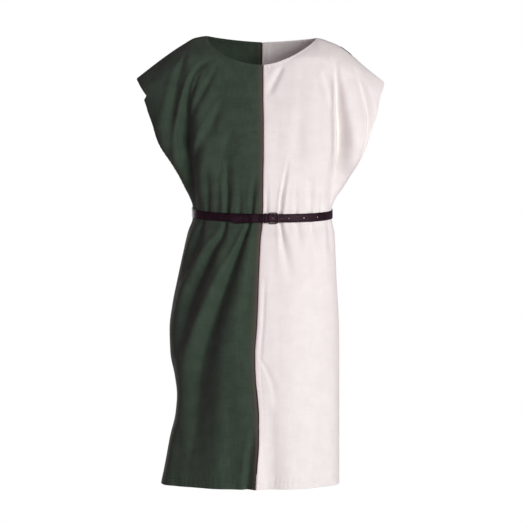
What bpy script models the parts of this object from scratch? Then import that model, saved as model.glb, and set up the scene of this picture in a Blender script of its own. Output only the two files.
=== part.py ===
"""Two-colour belted tabard, worn: four cloth panels, a slim leather belt and its buckle.

Metres, +Z up, front towards -Y. The origin is midway between the two neck points, on the
line of the shoulder seams, where the wearer's shoulders carry the cloth.
Left and right are as seen from the front: the green half is at -X, the natural half at +X.
"""

import math

import bmesh
import bpy
import numpy as np

# Cloth sizes
CLOTH = 0.0015  # wall of the cloth
SEAM_GAP = 0.0003  # between two panels along a seam
NECK_SHARE = 0.437  # half the neck opening, as a share of the half-width at the shoulder tips
FRONT_NECK = -0.077  # height of the neckline at the centre front
BACK_NECK = -0.009  # and at the centre back
SHOULDER_ROUND = (0.062, 0.050)  # height over which the cloth turns down, at neck and tip
SHOULDER_CURVE = 1.5  # 1 would be a flat slope, 2 a round
HEM = -1.112
SLIT_TOP = -0.800  # the centre front is open from here down
SLIT_GAPE = 0.0022  # half the slit's width at the hem
BACK_SEAM = 0.002  # where the centre back seam lies across the body

# Belt sizes. Along the belt, places are measured from the centre front, positive towards +X,
# and offsets are measured outward from the cloth to the middle of the leather.
BELT_HEIGHT = -0.438  # at the sides
BELT_TILT = 0.15  # rise towards the back, for each metre of depth
BELT_ROLL = -0.012  # rise towards +X, for each metre across
BELT_BAND = 0.014  # half the height over which the cloth is held by the belt
BELT_REACH = 0.20  # the cloth follows the belt's tilt this far above and below it
STRAP_WIDTH = 0.021
STRAP = 0.0018  # leather thickness
LEATHER_GAP = 0.0003
HEEL_BAR = 0.016  # where the bar is that the strap is folded round
BAR_OFFSET = 0.0036
BAR_RADIUS = 0.0013
END_BAR = 0.0377
FRAME_HALF_HEIGHT = 0.0128
FRAME_CORNERS = {"heel": 0.0030, "end": 0.0070}
WRAP_RADIUS = 0.0024
PRONG_RADIUS = 0.0008
PRONG_SLOT = 0.0015  # half the width of the slot for it in the fold of the strap
SLOT_CLEARANCE = 0.0002
PRONG_EYE = (0.0225, 0.0300, 0.0017)  # the hole it has opened: from, to, half the height
EYE_OFFSETS = (0.0003, 0.0074)  # the hole is cut between these offsets
TAIL_TIP = -0.080
TAIL_POINT = 0.014  # length of the pointed end
TAIL_END = 0.12  # width left at the very tip, as a share of the strap's
TAIL_DROP = 0.0045  # the tail's tip lies this much below the strap under it
HOLE_PITCH = 0.019
HOLE_RADIUS = 0.0017
FIRST_HOLE = -0.049
HOLES = 11
PRONG_HOLE = 4  # the hole in use, counted from the tip
KEEPER = {"from": 0.0040, "to": 0.0105, "low": 0.0036, "high": 0.0082, "thick": 0.0012}
STRAP_STEP = 0.0115  # between sections along the strap
LEG_STEP = 0.0033  # the same where it passes through the buckle

# Mesh density
FRONT_COLUMNS = 24  # segments from the centre seam to the side
BACK_COLUMNS = 18
UPPER_ROWS = {"front": 19, "back": 16}  # segments from the top edge to the belt
LOWER_ROWS = {"front": 17, "back": 14}  # segments from the belt to the hem
UPPER_CROWDING = 0.6  # rows draw together at the shoulder seam and above the belt
LOWER_CROWDING = 0.8  # and below the belt
SPREAD = 2.2  # squareness that spaces the columns
CROWD_DEPTH = 0.011  # a crease this deep doubles the columns beside it
CROWD_WIDTH = 1.8  # over this many of its widths to each side
CROWD_FADE = 0.04  # and this far past its ends
CROWD_FROM = 0.010  # shallower folds draw no columns
SHARE_SAMPLES = 97
BELT_SAMPLES = 120  # points on each quarter of the belt's line
ROD_SIDES = 8
HOLE_SIDES = 10
SLOT_SIDES = 20
SLANT = (0.31, 0.95, 0.05)  # a direction that no bar starts along

# A row for each section. left and right are half-widths, front and back the depths on the
# centre line, gape the depth of a free armhole edge, square the section's squareness, and
# seam the place of the centre front seam.
SECTION_COLUMNS = ("height", "left", "right", "front", "back", "gape", "square", "seam")
SECTIONS = (
    (0.010, 0.3155, 0.3100, 0.058, 0.060, 0.000, 2.0, 0.003),
    (-0.050, 0.3155, 0.3100, 0.072, 0.075, 0.000, 2.0, 0.003),
    (-0.105, 0.3155, 0.3100, 0.088, 0.092, 0.000, 2.0, 0.003),
    (-0.160, 0.2940, 0.2920, 0.103, 0.105, 0.030, 1.9, 0.003),
    (-0.210, 0.2750, 0.2780, 0.113, 0.111, 0.056, 1.7, 0.004),
    (-0.260, 0.2560, 0.2630, 0.118, 0.112, 0.066, 1.7, 0.004),
    (-0.300, 0.2340, 0.2460, 0.119, 0.111, 0.048, 1.8, 0.004),
    (-0.345, 0.2080, 0.2190, 0.117, 0.109, 0.014, 1.9, 0.003),
    (-0.375, 0.1935, 0.2005, 0.115, 0.108, 0.003, 2.0, 0.003),
    (-0.402, 0.1805, 0.1825, 0.113, 0.106, 0.000, 2.1, 0.003),
    (-0.424, 0.1735, 0.1745, 0.112, 0.105, 0.000, 2.2, 0.002),
    (-0.452, 0.1735, 0.1745, 0.112, 0.105, 0.000, 2.2, 0.001),
    (-0.487, 0.1850, 0.1810, 0.121, 0.114, 0.000, 2.2, -0.003),
    (-0.547, 0.1990, 0.1840, 0.131, 0.127, 0.000, 2.1, -0.006),
    (-0.607, 0.2120, 0.1865, 0.139, 0.139, 0.000, 2.1, -0.008),
    (-0.667, 0.2240, 0.1900, 0.145, 0.147, 0.000, 2.1, -0.010),
    (-0.727, 0.2310, 0.1925, 0.149, 0.150, 0.000, 2.1, -0.013),
    (-0.787, 0.2290, 0.1930, 0.151, 0.151, 0.000, 2.1, -0.017),
    (-0.847, 0.2175, 0.1930, 0.152, 0.151, 0.000, 2.1, -0.015),
    (-0.892, 0.2125, 0.1930, 0.152, 0.151, 0.000, 2.1, -0.011),
    (-0.937, 0.2160, 0.1930, 0.152, 0.152, 0.000, 2.1, -0.008),
    (-0.997, 0.2300, 0.1930, 0.152, 0.153, 0.000, 2.1, -0.008),
    (-1.057, 0.2410, 0.1930, 0.152, 0.154, 0.000, 2.1, -0.012),
    (-1.112, 0.2520, 0.1930, 0.152, 0.155, 0.000, 2.1, -0.015),
)

# Height of the shoulder seam, out from the centre as a share of the half-width at the tips.
RIDGE_COLUMNS = ("share", "left", "right")
RIDGE = (
    (0.000, 0.0015, 0.0015),
    (0.437, 0.0040, -0.0010),
    (0.526, 0.0000, -0.0090),
    (0.632, -0.0180, -0.0240),
    (0.777, -0.0490, -0.0590),
    (0.890, -0.0760, -0.0880),
    (1.000, -0.1030, -0.1130),
)

# How round the neckline is: it falls by (1 - share ** hollow) ** full.
NECKLINE_COLUMNS = ("side", "face", "hollow", "full")
NECKLINE = (
    ("left", "front", 2.0, 0.58),
    ("right", "front", 1.6, 0.80),
    ("left", "back", 1.4, 0.90),
    ("right", "back", 1.4, 0.90),
)

# A row for each fold, with the stations of its crease from the top. A station is across, height,
# half-width and depth in mm. A depth below 0 makes a ridge.
FOLD_COLUMNS = ("face", "stations")
STATION_COLUMNS = ("x", "z", "wide", "deep")
FOLDS = (
    # Under and over the green shoulder cap
    ("front", ((-150, -85, 12, 0), (-172, -112, 14, 6), (-182, -140, 15, 11), (-189, -175, 16, 17),
        (-192, -219, 17, 26), (-194, -263, 18, 31), (-192, -312, 17, 29), (-184, -356, 15, 20),
        (-176, -400, 13, 9), (-168, -452, 12, 4))),
    ("front", ((-192, -60, 12, 0), (-209, -110, 14, 8), (-218, -154, 15, 9), (-226, -200, 15, 6),
        (-232, -245, 14, 0))),
    ("front", ((-240, -154, 16, 0), (-250, -214, 18, -7), (-239, -283, 18, -6), (-215, -342, 16, 0))),
    ("front", ((-122, -98, 12, 0), (-140, -132, 13, 6), (-154, -159, 13, 7), (-168, -190, 12, 0))),
    ("front", ((-96, -159, 13, 0), (-113, -199, 14, 5), (-132, -238, 15, 8), (-152, -273, 15, 8),
        (-170, -320, 14, 0))),
    # From the green chest into the belt
    ("front", ((-83, -293, 12, 0), (-87, -361, 12, 7), (-89, -452, 10, 9))),
    ("front", ((-15, -330, 12, 0), (-22, -386, 11, 7), (-26, -452, 10, 9))),
    ("front", ((-137, -317, 12, 0), (-134, -378, 12, 5), (-134, -452, 11, 6))),
    # Green skirt
    ("front", ((-24, -452, 10, 8), (-45, -498, 11, 12), (-61, -539, 13, 15), (-77, -576, 15, 19),
        (-96, -624, 18, 23), (-118, -680, 21, 26), (-139, -738, 24, 27), (-156, -803, 27, 26),
        (-165, -876, 29, 23), (-169, -955, 30, 18), (-177, -1040, 32, 12), (-181, -1112, 34, 10))),
    ("front", ((-85, -452, 10, 6), (-102, -498, 11, 10), (-122, -527, 13, 14), (-143, -566, 15, 18),
        (-163, -605, 17, 19), (-182, -658, 18, 16), (-196, -726, 18, 10), (-203, -786, 16, 3))),
    ("front", ((-141, -452, 10, 4), (-151, -474, 11, 7), (-165, -515, 12, 8), (-182, -561, 13, 6),
        (-197, -617, 13, 0))),
    ("front", ((-20, -960, 12, 0), (-29, -1021, 13, 5), (-38, -1112, 14, 8))),
    # Under and over the natural shoulder cap
    ("front", ((181, -85, 12, 0), (184, -115, 12, 7), (186, -144, 13, 13), (188, -189, 14, 20),
        (192, -238, 15, 26), (193, -288, 16, 29), (188, -337, 15, 26), (178, -386, 12, 15),
        (168, -440, 11, 6))),
    ("front", ((225, -80, 12, 0), (248, -134, 12, 8), (258, -174, 12, 9), (263, -214, 12, 8),
        (258, -263, 12, 7), (240, -320, 12, 0))),
    # From the natural chest into the belt
    ("front", ((53, -85, 12, 0), (39, -104, 12, 4), (26, -129, 12, 4), (12, -165, 12, 0))),
    ("front", ((149, -95, 12, 0), (160, -125, 14, 4), (170, -157, 14, 4), (175, -196, 14, 0))),
    ("front", ((62, -320, 11, 0), (54, -370, 11, 6), (44, -452, 10, 10))),
    ("front", ((117, -346, 12, 0), (119, -400, 12, 4), (119, -452, 11, 6))),
    # Natural skirt
    ("front", ((42, -452, 10, 10), (47, -488, 10, 9), (53, -527, 12, 7), (63, -566, 14, 5),
        (75, -624, 14, 0))),
    ("front", ((119, -452, 10, 7), (126, -498, 12, 6), (134, -561, 15, 6), (137, -629, 18, 4),
        (138, -702, 18, 0))),
    ("front", ((14, -895, 16, 0), (24, -992, 20, 5), (22, -1112, 22, 8))),
    ("front", ((135, -847, 20, 0), (145, -968, 24, 4), (145, -1112, 28, 6))),
    # Back, from the shoulders to the belt
    ("back", ((-182, -105, 12, 0), (-187, -150, 14, 14), (-193, -210, 16, 24), (-197, -280, 17, 30),
        (-193, -340, 16, 24), (-184, -385, 14, 12), (-174, -440, 12, 4))),
    ("back", ((184, -110, 12, 0), (189, -155, 14, 14), (195, -215, 16, 24), (199, -285, 17, 29),
        (194, -345, 16, 23), (186, -388, 14, 11), (176, -440, 12, 4))),
    ("back", ((-122, -130, 14, 0), (-110, -200, 15, 6), (-102, -280, 16, 5), (-97, -360, 14, 8),
        (-96, -452, 12, 10))),
    ("back", ((128, -165, 14, 0), (112, -240, 15, 6), (100, -320, 15, 6), (93, -390, 13, 9),
        (92, -460, 12, 10))),
    ("back", ((-38, -240, 14, 0), (-33, -330, 15, 6), (-37, -400, 13, 9), (-43, -456, 12, 10))),
    ("back", ((48, -215, 14, 0), (49, -310, 15, 6), (43, -390, 13, 9), (36, -460, 12, 10))),
    # Back of the skirt
    ("back", ((-96, -440, 12, 9), (-102, -520, 15, 15), (-110, -620, 20, 20), (-117, -740, 25, 20),
        (-123, -880, 28, 13), (-124, -1000, 30, 12), (-120, -1112, 32, 14))),
    ("back", ((-42, -440, 12, 9), (-39, -530, 15, 12), (-42, -640, 22, 12), (-52, -790, 24, 0))),
    ("back", ((36, -440, 12, 9), (41, -530, 15, 14), (47, -640, 20, 18), (52, -760, 25, 16),
        (57, -900, 28, 11), (58, -1010, 30, 11), (54, -1112, 32, 13))),
    ("back", ((92, -440, 12, 9), (102, -520, 15, 13), (116, -620, 20, 15), (134, -770, 24, 0))),
    ("back", ((-28, -860, 26, 0), (-30, -980, 32, -5), (-30, -1112, 36, -8))),
    ("back", ((132, -800, 28, 0), (140, -950, 34, -5), (138, -1112, 36, -8))),
)
MILLIMETRE = 0.001
CREASE_STEPS = 4  # between two stations
RIDGE_BESIDE = 0.20  # the cloth swells beside a crease by this share of its depth
RIDGE_AWAY = 2.1  # and is highest this many of the crease's widths away
FACING = (0.10, 0.55)  # folds fade out where a normal's front-to-back part lies between these

# The strap's two ends, as offsets from the cloth along the belt: the fixed end comes back from
# the heel bar, and the free end comes from +X through the buckle and ends in the tail.
LEG_COLUMNS = ("along", "offset")
FIXED_LEG = (
    (0.016, 0.0060),
    (0.013, 0.0055),
    (0.010, 0.0048),
    (0.002, 0.0048),
    (-0.010, 0.0033),
    (-0.024, 0.0033),
    (-0.036, 0.0012),
)
FREE_LEG = (
    (0.036, 0.0012),
    (0.031, 0.0017),
    (0.027, 0.0036),
    (0.023, 0.0063),
    (0.020, 0.0076),
    (0.016, 0.0082),
    (0.013, 0.0078),
    (0.010, 0.0070),
    (0.002, 0.0070),
    (-0.010, 0.0055),
    (-0.024, 0.0055),
    (-0.038, 0.0034),
    (-0.080, 0.0034),
)
FOLDED_END = -0.022  # where the strap's folded end stops, behind
CLOTH_TO_STRAP = 0.0012  # offset of the strap where it lies on the cloth
PRONG_RING = (5.0, 285.0)  # its wire goes round the heel bar between these angles
PRONG_PATH = (
    (0.0200, 0.0022),
    (0.0240, 0.0036),
    (0.0320, 0.0053),
    (0.0370, 0.0061),
    (0.0396, 0.0061),
)

# Panel colours and finishes: colour, roughness, metallic value
FINISHES = {
    "green_cloth": ((0.036, 0.058, 0.040, 1.0), 0.90, 0.0),
    "natural_cloth": ((0.86, 0.80, 0.79, 1.0), 0.88, 0.0),
    "belt_leather": ((0.022, 0.010, 0.014, 1.0), 0.42, 0.0),
    "buckle_metal": ((0.050, 0.040, 0.044, 1.0), 0.35, 1.0),
}

SIDES = {"left": -1.0, "right": 1.0}
FACES = {"front": -1.0, "back": 1.0}


def columns(names, rows):
    """A table's columns by name, as arrays."""
    return {name: np.array([row[i] for row in rows]) for i, name in enumerate(names)}


def smooth_at(stations, values, at):
    """A smooth curve through values at rising stations, read at any places inside them."""
    step = np.diff(stations)
    rise = np.diff(values) / step
    slope = np.empty_like(values)
    slope[0], slope[-1] = rise[0], rise[-1]
    product = rise[:-1] * rise[1:]
    total = np.where(product > 0, rise[:-1] + rise[1:], 1.0)
    slope[1:-1] = np.where(product > 0, 2 * product / total, 0.0)
    at = np.clip(at, stations[0], stations[-1])
    i = np.clip(np.searchsorted(stations, at) - 1, 0, len(stations) - 2)
    t = (at - stations[i]) / step[i]
    start = (1 + 2 * t) * (1 - t) ** 2 * values[i] + t * (1 - t) ** 2 * step[i] * slope[i]
    end = t * t * (3 - 2 * t) * values[i + 1] + t * t * (t - 1) * step[i] * slope[i + 1]
    return start + end


SECTION = columns(SECTION_COLUMNS, SECTIONS[::-1])
SEAM_LINE = columns(RIDGE_COLUMNS, RIDGE)


def section(name, height):
    """One of the section table's columns at any height."""
    return smooth_at(SECTION["height"], SECTION[name], height)


def ridge_height(side, share):
    """Height of the shoulder seam, out to a share of the half-width at the tip."""
    return smooth_at(SEAM_LINE["share"], SEAM_LINE[side], share)


def top_height(side, face, share):
    """Height of the panel's top edge: the neckline, then the shoulder seam."""
    rows = [dict(zip(NECKLINE_COLUMNS, row)) for row in NECKLINE]
    curve = next(row for row in rows if row["side"] == side and row["face"] == face)
    inside = np.clip(share / NECK_SHARE, 0.0, 1.0)
    corner = ridge_height(side, NECK_SHARE)
    lowest = FRONT_NECK if face == "front" else BACK_NECK
    neckline = corner + (lowest - corner) * (1 - inside ** curve["hollow"]) ** curve["full"]
    return np.where(share < NECK_SHARE, neckline, ridge_height(side, share))


def smoothstep(low, high, value):
    t = np.clip((value - low) / (high - low), 0.0, 1.0)
    return t * t * (3 - 2 * t)


def band_share(height):
    """1 where the belt holds the cloth, falling to 0 at BELT_REACH above and below it."""
    away = np.abs(height - BELT_HEIGHT) - BELT_BAND
    return 1 - smoothstep(0.0, BELT_REACH, away)


def belt_rise(x, y):
    return BELT_TILT * y + BELT_ROLL * x


def base_point(side, face, share, height):
    """The cloth without its folds: a rounded section, turned down from the shoulder seam."""
    half = section(side, height)
    seam = section("seam", height) if face == "front" else BACK_SEAM
    x = seam * (1 - share) + SIDES[side] * half * share
    out = np.clip(np.abs(x) / half, 0.0, 1.0)
    square = section("square", height)
    rounded = (1 - out**square) ** (1 / square)
    gape = section("gape", height)
    depth = gape + (section(face, height) - gape) * rounded
    tip = section(side, SECTION["height"][-1])
    shoulder_share = np.clip(np.abs(x) / tip, 0.0, 1.0)
    drop = np.maximum(ridge_height(side, shoulder_share) - height, 0.0)
    inner_turn, outer_turn = SHOULDER_ROUND
    turn = inner_turn + (outer_turn - inner_turn) * smoothstep(0.2, 1.2, shoulder_share)
    fall = np.clip(drop / turn, 0.0, 1.0)
    y = FACES[face] * depth * (1 - (1 - fall) ** SHOULDER_CURVE) ** (1 / SHOULDER_CURVE)
    z = height + band_share(height) * belt_rise(x, y)
    return np.stack([x, y, z], axis=-1)


def row_heights(face, top):
    """Heights down one column, from its top edge through the belt to the hem."""
    above = BELT_HEIGHT + BELT_BAND
    below = BELT_HEIGHT - BELT_BAND
    u = np.linspace(0.0, 1.0, UPPER_ROWS[face] + 1)
    share = (1 - UPPER_CROWDING) * u + UPPER_CROWDING * (1 - np.cos(math.pi * u)) / 2
    upper = top + (above - top) * share
    u = np.linspace(0.0, 1.0, LOWER_ROWS[face] + 1)
    share = (u + LOWER_CROWDING * u * u) / (1 + LOWER_CROWDING)
    lower = below + (HEM - below) * share
    return np.concatenate([upper, lower])


def column_shares(count):
    """Shares of the half-width from the centre to the side, with one on the neck point."""
    angle = np.arcsin(NECK_SHARE ** (SPREAD / 2)) / (math.pi / 2)
    inner = max(2, round(count * angle))
    a = np.concatenate([
        np.linspace(0.0, angle, inner + 1),
        np.linspace(angle, 1.0, count - inner + 1)[1:],
    ])
    return np.sin(a * math.pi / 2) ** (2 / SPREAD)


def base_grid(face, count):
    """Rows of points over one whole face, from its left side to its right side."""
    shares = column_shares(count)
    sides = []
    for side in SIDES:
        tops = top_height(side, face, shares)
        heights = np.stack([row_heights(face, top) for top in tops], axis=1)
        sides.append(base_point(side, face, crowded(side, face, shares, heights), heights))
    left, right = sides
    return np.concatenate([left[:, :0:-1], right], axis=1)


def grid_normals(points, face):
    """Outward normals at a grid's points, each the mean of the quads around it."""
    across = np.diff(points, axis=1)
    down = np.diff(points, axis=0)
    quad = np.cross(down[:, :-1] + down[:, 1:], across[:-1] + across[1:])
    total = np.zeros_like(points)
    for i in (0, 1):
        for j in (0, 1):
            total[i:len(points) - 1 + i, j:points.shape[1] - 1 + j] += quad
    total *= -FACES[face]
    return total / np.linalg.norm(total, axis=-1, keepdims=True)


def crease_line(fold):
    """Points along a fold's crease: across, height, half-width and depth, in metres."""
    table = columns(STATION_COLUMNS, fold["stations"])
    number = np.arange(len(fold["stations"]), dtype=float)
    at = np.linspace(0.0, number[-1], CREASE_STEPS * (len(number) - 1) + 1)
    return np.stack([smooth_at(number, table[name] * MILLIMETRE, at) for name in STATION_COLUMNS], axis=-1)


def fold_depth(fold, x, z):
    """How far one fold draws the cloth in at each point, and swells it beside the crease."""
    line = crease_line(fold)
    start, run = line[:-1], np.diff(line, axis=0)
    from_start = np.stack([x, z], axis=-1)[..., None, :] - start[:, :2]
    share = (from_start * run[:, :2]).sum(-1) / (run[:, :2] ** 2).sum(-1)
    share = np.clip(share, 0.0, 1.0)
    away = np.linalg.norm(from_start - share[..., None] * run[:, :2], axis=-1)
    best = np.argmin(away, axis=-1)
    distance = np.take_along_axis(away, best[..., None], axis=-1)[..., 0]
    share = np.take_along_axis(share, best[..., None], axis=-1)[..., 0]
    wide = start[best, 2] + share * run[best, 2]
    deep = start[best, 3] + share * run[best, 3]
    hollow = np.exp(-((distance / wide) ** 2))
    swell = RIDGE_BESIDE * np.exp(-(((distance - RIDGE_AWAY * wide) / wide) ** 2))
    return deep * (hollow - swell)


def face_folds(face):
    folds = [dict(zip(FOLD_COLUMNS, row)) for row in FOLDS]
    return [fold for fold in folds if fold["face"] == face]


def crowded(side, face, shares, heights):
    """Column shares drawn together beside the deeper creases, at each point's height."""
    fine = np.linspace(0.0, 1.0, SHARE_SAMPLES)
    density = np.ones(heights.shape + fine.shape)
    half = section(side, heights)
    for fold in face_folds(face):
        x, z, wide, deep = crease_line(fold)[::-1].T
        if x.mean() * SIDES[side] < 0 or deep.max() < CROWD_FROM or np.any(np.diff(z) <= 0):
            continue
        crease = np.abs(np.interp(heights, z, x)) / half
        beyond = np.maximum(z[0] - heights, heights - z[-1])
        near = 1 - smoothstep(0.0, CROWD_FADE, beyond)
        near = near * smoothstep(0.0, CROWD_FADE, heights[:1] - heights)
        reach = np.interp(heights, z, wide) / half * CROWD_WIDTH
        crowd = np.interp(heights, z, deep) * near / CROWD_DEPTH
        away = (fine - crease[..., None]) / reach[..., None]
        density += crowd[..., None] * np.exp(-(away**2))
    total = np.cumsum((density[..., 1:] + density[..., :-1]) / 2, axis=-1)
    total = np.concatenate([np.zeros(heights.shape + (1,)), total], axis=-1)
    total /= total[..., -1:]
    moved = np.empty(heights.shape)
    for place in np.ndindex(heights.shape):
        moved[place] = np.interp(shares[place[-1]], total[place], fine)
    return moved


def folded(points, face):
    """The grid with its folds: troughs drawn in along the normal, none standing into the belt."""
    normals = grid_normals(points, face)
    inward = np.zeros(points.shape[:2])
    for fold in face_folds(face):
        inward += fold_depth(fold, points[..., 0], points[..., 2])
    held = BELT_HEIGHT + belt_rise(points[..., 0], points[..., 1])
    clear = smoothstep(BELT_BAND, 4 * BELT_BAND, np.abs(points[..., 2] - held))
    inward = np.where(inward < 0, inward * clear, inward)
    facing = smoothstep(*FACING, np.abs(normals[..., 1]))
    return points - normals * (inward * facing)[..., None]


def panel_points(grid, face, side, count):
    """One panel's outer and inner points, its seam edges drawn back by half the seam gap."""
    normals = grid_normals(grid, face)
    half = slice(0, count + 1) if side == "left" else slice(count, 2 * count + 1)
    outer = grid[:, half].copy()
    normals = normals[:, half].copy()
    centre = -1 if side == "left" else 0
    on_seam = np.abs(outer[..., 1]) < 1e-6
    normals[on_seam, 1] = 0.0
    normals /= np.linalg.norm(normals, axis=-1, keepdims=True)
    inner = outer - CLOTH * normals
    gap = np.full(len(outer), SEAM_GAP / 2)
    if face == "front":
        opened = np.clip((SLIT_TOP - outer[:, centre, 2]) / (SLIT_TOP - HEM), 0.0, 1.0)
        gap += SLIT_GAPE * opened
    for points in (outer, inner):
        points[:, centre, 0] += SIDES[side] * gap
        points[..., 1] = FACES[face] * np.maximum(FACES[face] * points[..., 1], SEAM_GAP / 2)
        points[-1, :, 2] = HEM
    return outer, inner


def wall_object(name, outer, inner, finish):
    """A closed wall between two grids of the same size."""
    rows, count = outer.shape[:2]
    mesh = bmesh.new()
    sheets = [
        [[mesh.verts.new(points[i, j]) for j in range(count)] for i in range(rows)]
        for points in (outer, inner)
    ]
    out, back = sheets
    for i in range(rows - 1):
        for j in range(count - 1):
            mesh.faces.new((out[i][j], out[i + 1][j], out[i + 1][j + 1], out[i][j + 1]))
            mesh.faces.new((back[i][j], back[i][j + 1], back[i + 1][j + 1], back[i + 1][j]))
    border = [(0, j) for j in range(count)]
    border += [(i, count - 1) for i in range(1, rows)]
    border += [(rows - 1, j) for j in range(count - 2, -1, -1)]
    border += [(i, 0) for i in range(rows - 2, 0, -1)]
    for (i, j), (k, m) in zip(border, border[1:] + border[:1]):
        mesh.faces.new((out[i][j], out[k][m], back[k][m], back[i][j]))
    bmesh.ops.recalc_face_normals(mesh, faces=mesh.faces)
    return new_object(name, mesh, finish)


def new_object(name, mesh, finish):
    data = bpy.data.meshes.new(name)
    mesh.to_mesh(data)
    mesh.free()
    data.shade_smooth()
    data.set_sharp_from_angle(angle=math.radians(40))
    data.materials.append(material(finish))
    made = bpy.data.objects.new(name, data)
    bpy.context.scene.collection.objects.link(made)
    return made


def material(name):
    found = bpy.data.materials.get(name)
    if found:
        return found
    colour, roughness, metallic = FINISHES[name]
    made = bpy.data.materials.new(name)
    made.use_nodes = True
    made.diffuse_color = colour
    shader = made.node_tree.nodes["Principled BSDF"]
    shader.inputs["Base Color"].default_value = colour
    shader.inputs["Roughness"].default_value = roughness
    shader.inputs["Metallic"].default_value = metallic
    return made


def panels():
    """The four panels that make the garment: front and back, green and natural."""
    finish = {"left": "green_cloth", "right": "natural_cloth"}
    colour = {"left": "green", "right": "natural"}
    for face, count in (("front", FRONT_COLUMNS), ("back", BACK_COLUMNS)):
        grid = folded(base_grid(face, count), face)
        for side in SIDES:
            outer, inner = panel_points(grid, face, side, count)
            wall_object(f"{face}_{colour[side]}", outer, inner, finish[side])


def belt_line():
    """The cloth's outline at the belt, as points, outward normals and distance along it."""
    shares = np.sin(np.linspace(0.0, 1.0, BELT_SAMPLES) * math.pi / 2) ** (2 / SPREAD)
    runs = []
    for side, face, order in (
        ("right", "front", shares),
        ("right", "back", shares[::-1]),
        ("left", "back", shares),
        ("left", "front", shares[::-1]),
    ):
        runs.append(base_point(side, face, order, np.full(order.shape, BELT_HEIGHT)))
    points = np.concatenate([runs[0]] + [run[1:] for run in runs[1:]])
    ahead = np.gradient(points, axis=0)
    ahead[0] = ahead[-1] = ahead[0] + ahead[-1]
    normals = np.stack([ahead[:, 1], -ahead[:, 0], np.zeros(len(points))], axis=-1)
    normals /= np.linalg.norm(normals, axis=-1, keepdims=True)
    step = np.linalg.norm(np.diff(points[:, :2], axis=0), axis=-1)
    return points, normals, np.concatenate([[0.0], np.cumsum(step)])


BELT_POINTS, BELT_NORMALS, BELT_ALONG = belt_line()


def on_belt(along, offset, up):
    """A point given along the belt, outward from the cloth, and up from the belt's middle."""
    at = along % BELT_ALONG[-1]
    base = np.array([np.interp(at, BELT_ALONG, BELT_POINTS[:, i]) for i in range(3)])
    out = np.array([np.interp(at, BELT_ALONG, BELT_NORMALS[:, i]) for i in range(3)])
    return base + out / np.linalg.norm(out) * offset + np.array([0.0, 0.0, up])


def leg_offset(leg, along):
    """Offset of one of the strap's two ends at any place along it."""
    table = columns(LEG_COLUMNS, leg[::-1])
    return smooth_at(table["along"], table["offset"], along)


def leg_places(leg):
    start, stop = leg[0][0], leg[-1][0]
    return np.linspace(start, stop, round((start - stop) / LEG_STEP) + 1)


def tail_drop(along):
    """How far the free end has sunk below the strap under it."""
    return TAIL_DROP * float(smoothstep(0.0, 1.0, along / TAIL_TIP))


def strap_path():
    """The strap's middle line, as (along, offset, up, half its height).

    It runs from the folded end round the bar, round the waist, through the buckle to the tail.
    """
    half = STRAP_WIDTH / 2
    path = [(a, CLOTH_TO_STRAP, 0.0, half) for a in np.linspace(FOLDED_END, HEEL_BAR, 5)]
    for angle in np.radians(np.linspace(-90, 90, 9)[1:-1]):
        along = HEEL_BAR + WRAP_RADIUS * math.cos(angle)
        path.append((along, BAR_OFFSET + WRAP_RADIUS * math.sin(angle), 0.0, half))
    for along in leg_places(FIXED_LEG):
        path.append((along, leg_offset(FIXED_LEG, along), 0.0, half))
    start, stop = FIXED_LEG[-1][0], FREE_LEG[0][0] - BELT_ALONG[-1]
    count = round((start - stop) / STRAP_STEP)
    path += [(a, CLOTH_TO_STRAP, 0.0, half) for a in np.linspace(start, stop, count + 1)[1:-1]]
    for along in leg_places(FREE_LEG):
        narrow = math.sqrt(min(1.0, (along - TAIL_TIP) / TAIL_POINT))
        width = half * (TAIL_END + (1 - TAIL_END) * narrow)
        path.append((along, leg_offset(FREE_LEG, along), -tail_drop(along), width))
    return path


def strap_object():
    """The leather strap, one closed strip with its slot and its row of holes."""
    stations = strap_path()
    flat = np.array([station[:2] for station in stations])
    run = np.empty_like(flat)
    turn = BELT_ALONG[-1]
    ahead = np.diff(flat, axis=0)
    ahead[:, 0] = (ahead[:, 0] + turn / 2) % turn - turn / 2
    ahead /= np.linalg.norm(ahead, axis=-1, keepdims=True)
    run[0], run[-1] = ahead[0], ahead[-1]
    run[1:-1] = ahead[:-1] + ahead[1:]
    run /= np.linalg.norm(run, axis=-1, keepdims=True)
    across = np.stack([-run[:, 1], run[:, 0]], axis=-1) * STRAP / 2
    mesh = bmesh.new()
    rings = []
    for i, (along, offset, up, half) in enumerate(stations):
        corners = [
            (along + sign * across[i, 0], offset + sign * across[i, 1], up + rise * half)
            for sign, rise in ((-1, -1), (1, -1), (1, 1), (-1, 1))
        ]
        rings.append([mesh.verts.new(on_belt(*corner)) for corner in corners])
    bridge(mesh, rings, closed=False)
    strap = new_object("belt_strap", mesh, "belt_leather")
    slot = [(HEEL_BAR, BAR_OFFSET, -PRONG_SLOT), (HEEL_BAR, BAR_OFFSET, PRONG_SLOT)]
    reach = WRAP_RADIUS + STRAP / 2 + SLOT_CLEARANCE
    cut(strap, rod("slot_cutter", slot, reach, SLOT_SIDES))
    for number in range(HOLES):
        along = FIRST_HOLE + number * HOLE_PITCH
        if number != PRONG_HOLE:
            cut(strap, hole_cutter(f"hole_cutter_{number}", along))
    cut(strap, eye_cutter())


def bridge(mesh, rings, closed):
    """Quads between rings of vertices, with end caps where the run isn't closed."""
    pairs = list(zip(rings, rings[1:] + rings[:1])) if closed else list(zip(rings, rings[1:]))
    for first, second in pairs:
        for k in range(len(first)):
            m = (k + 1) % len(first)
            mesh.faces.new((first[k], first[m], second[m], second[k]))
    if not closed:
        mesh.faces.new(rings[0][::-1])
        mesh.faces.new(rings[-1])
    bmesh.ops.recalc_face_normals(mesh, faces=mesh.faces)


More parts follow.
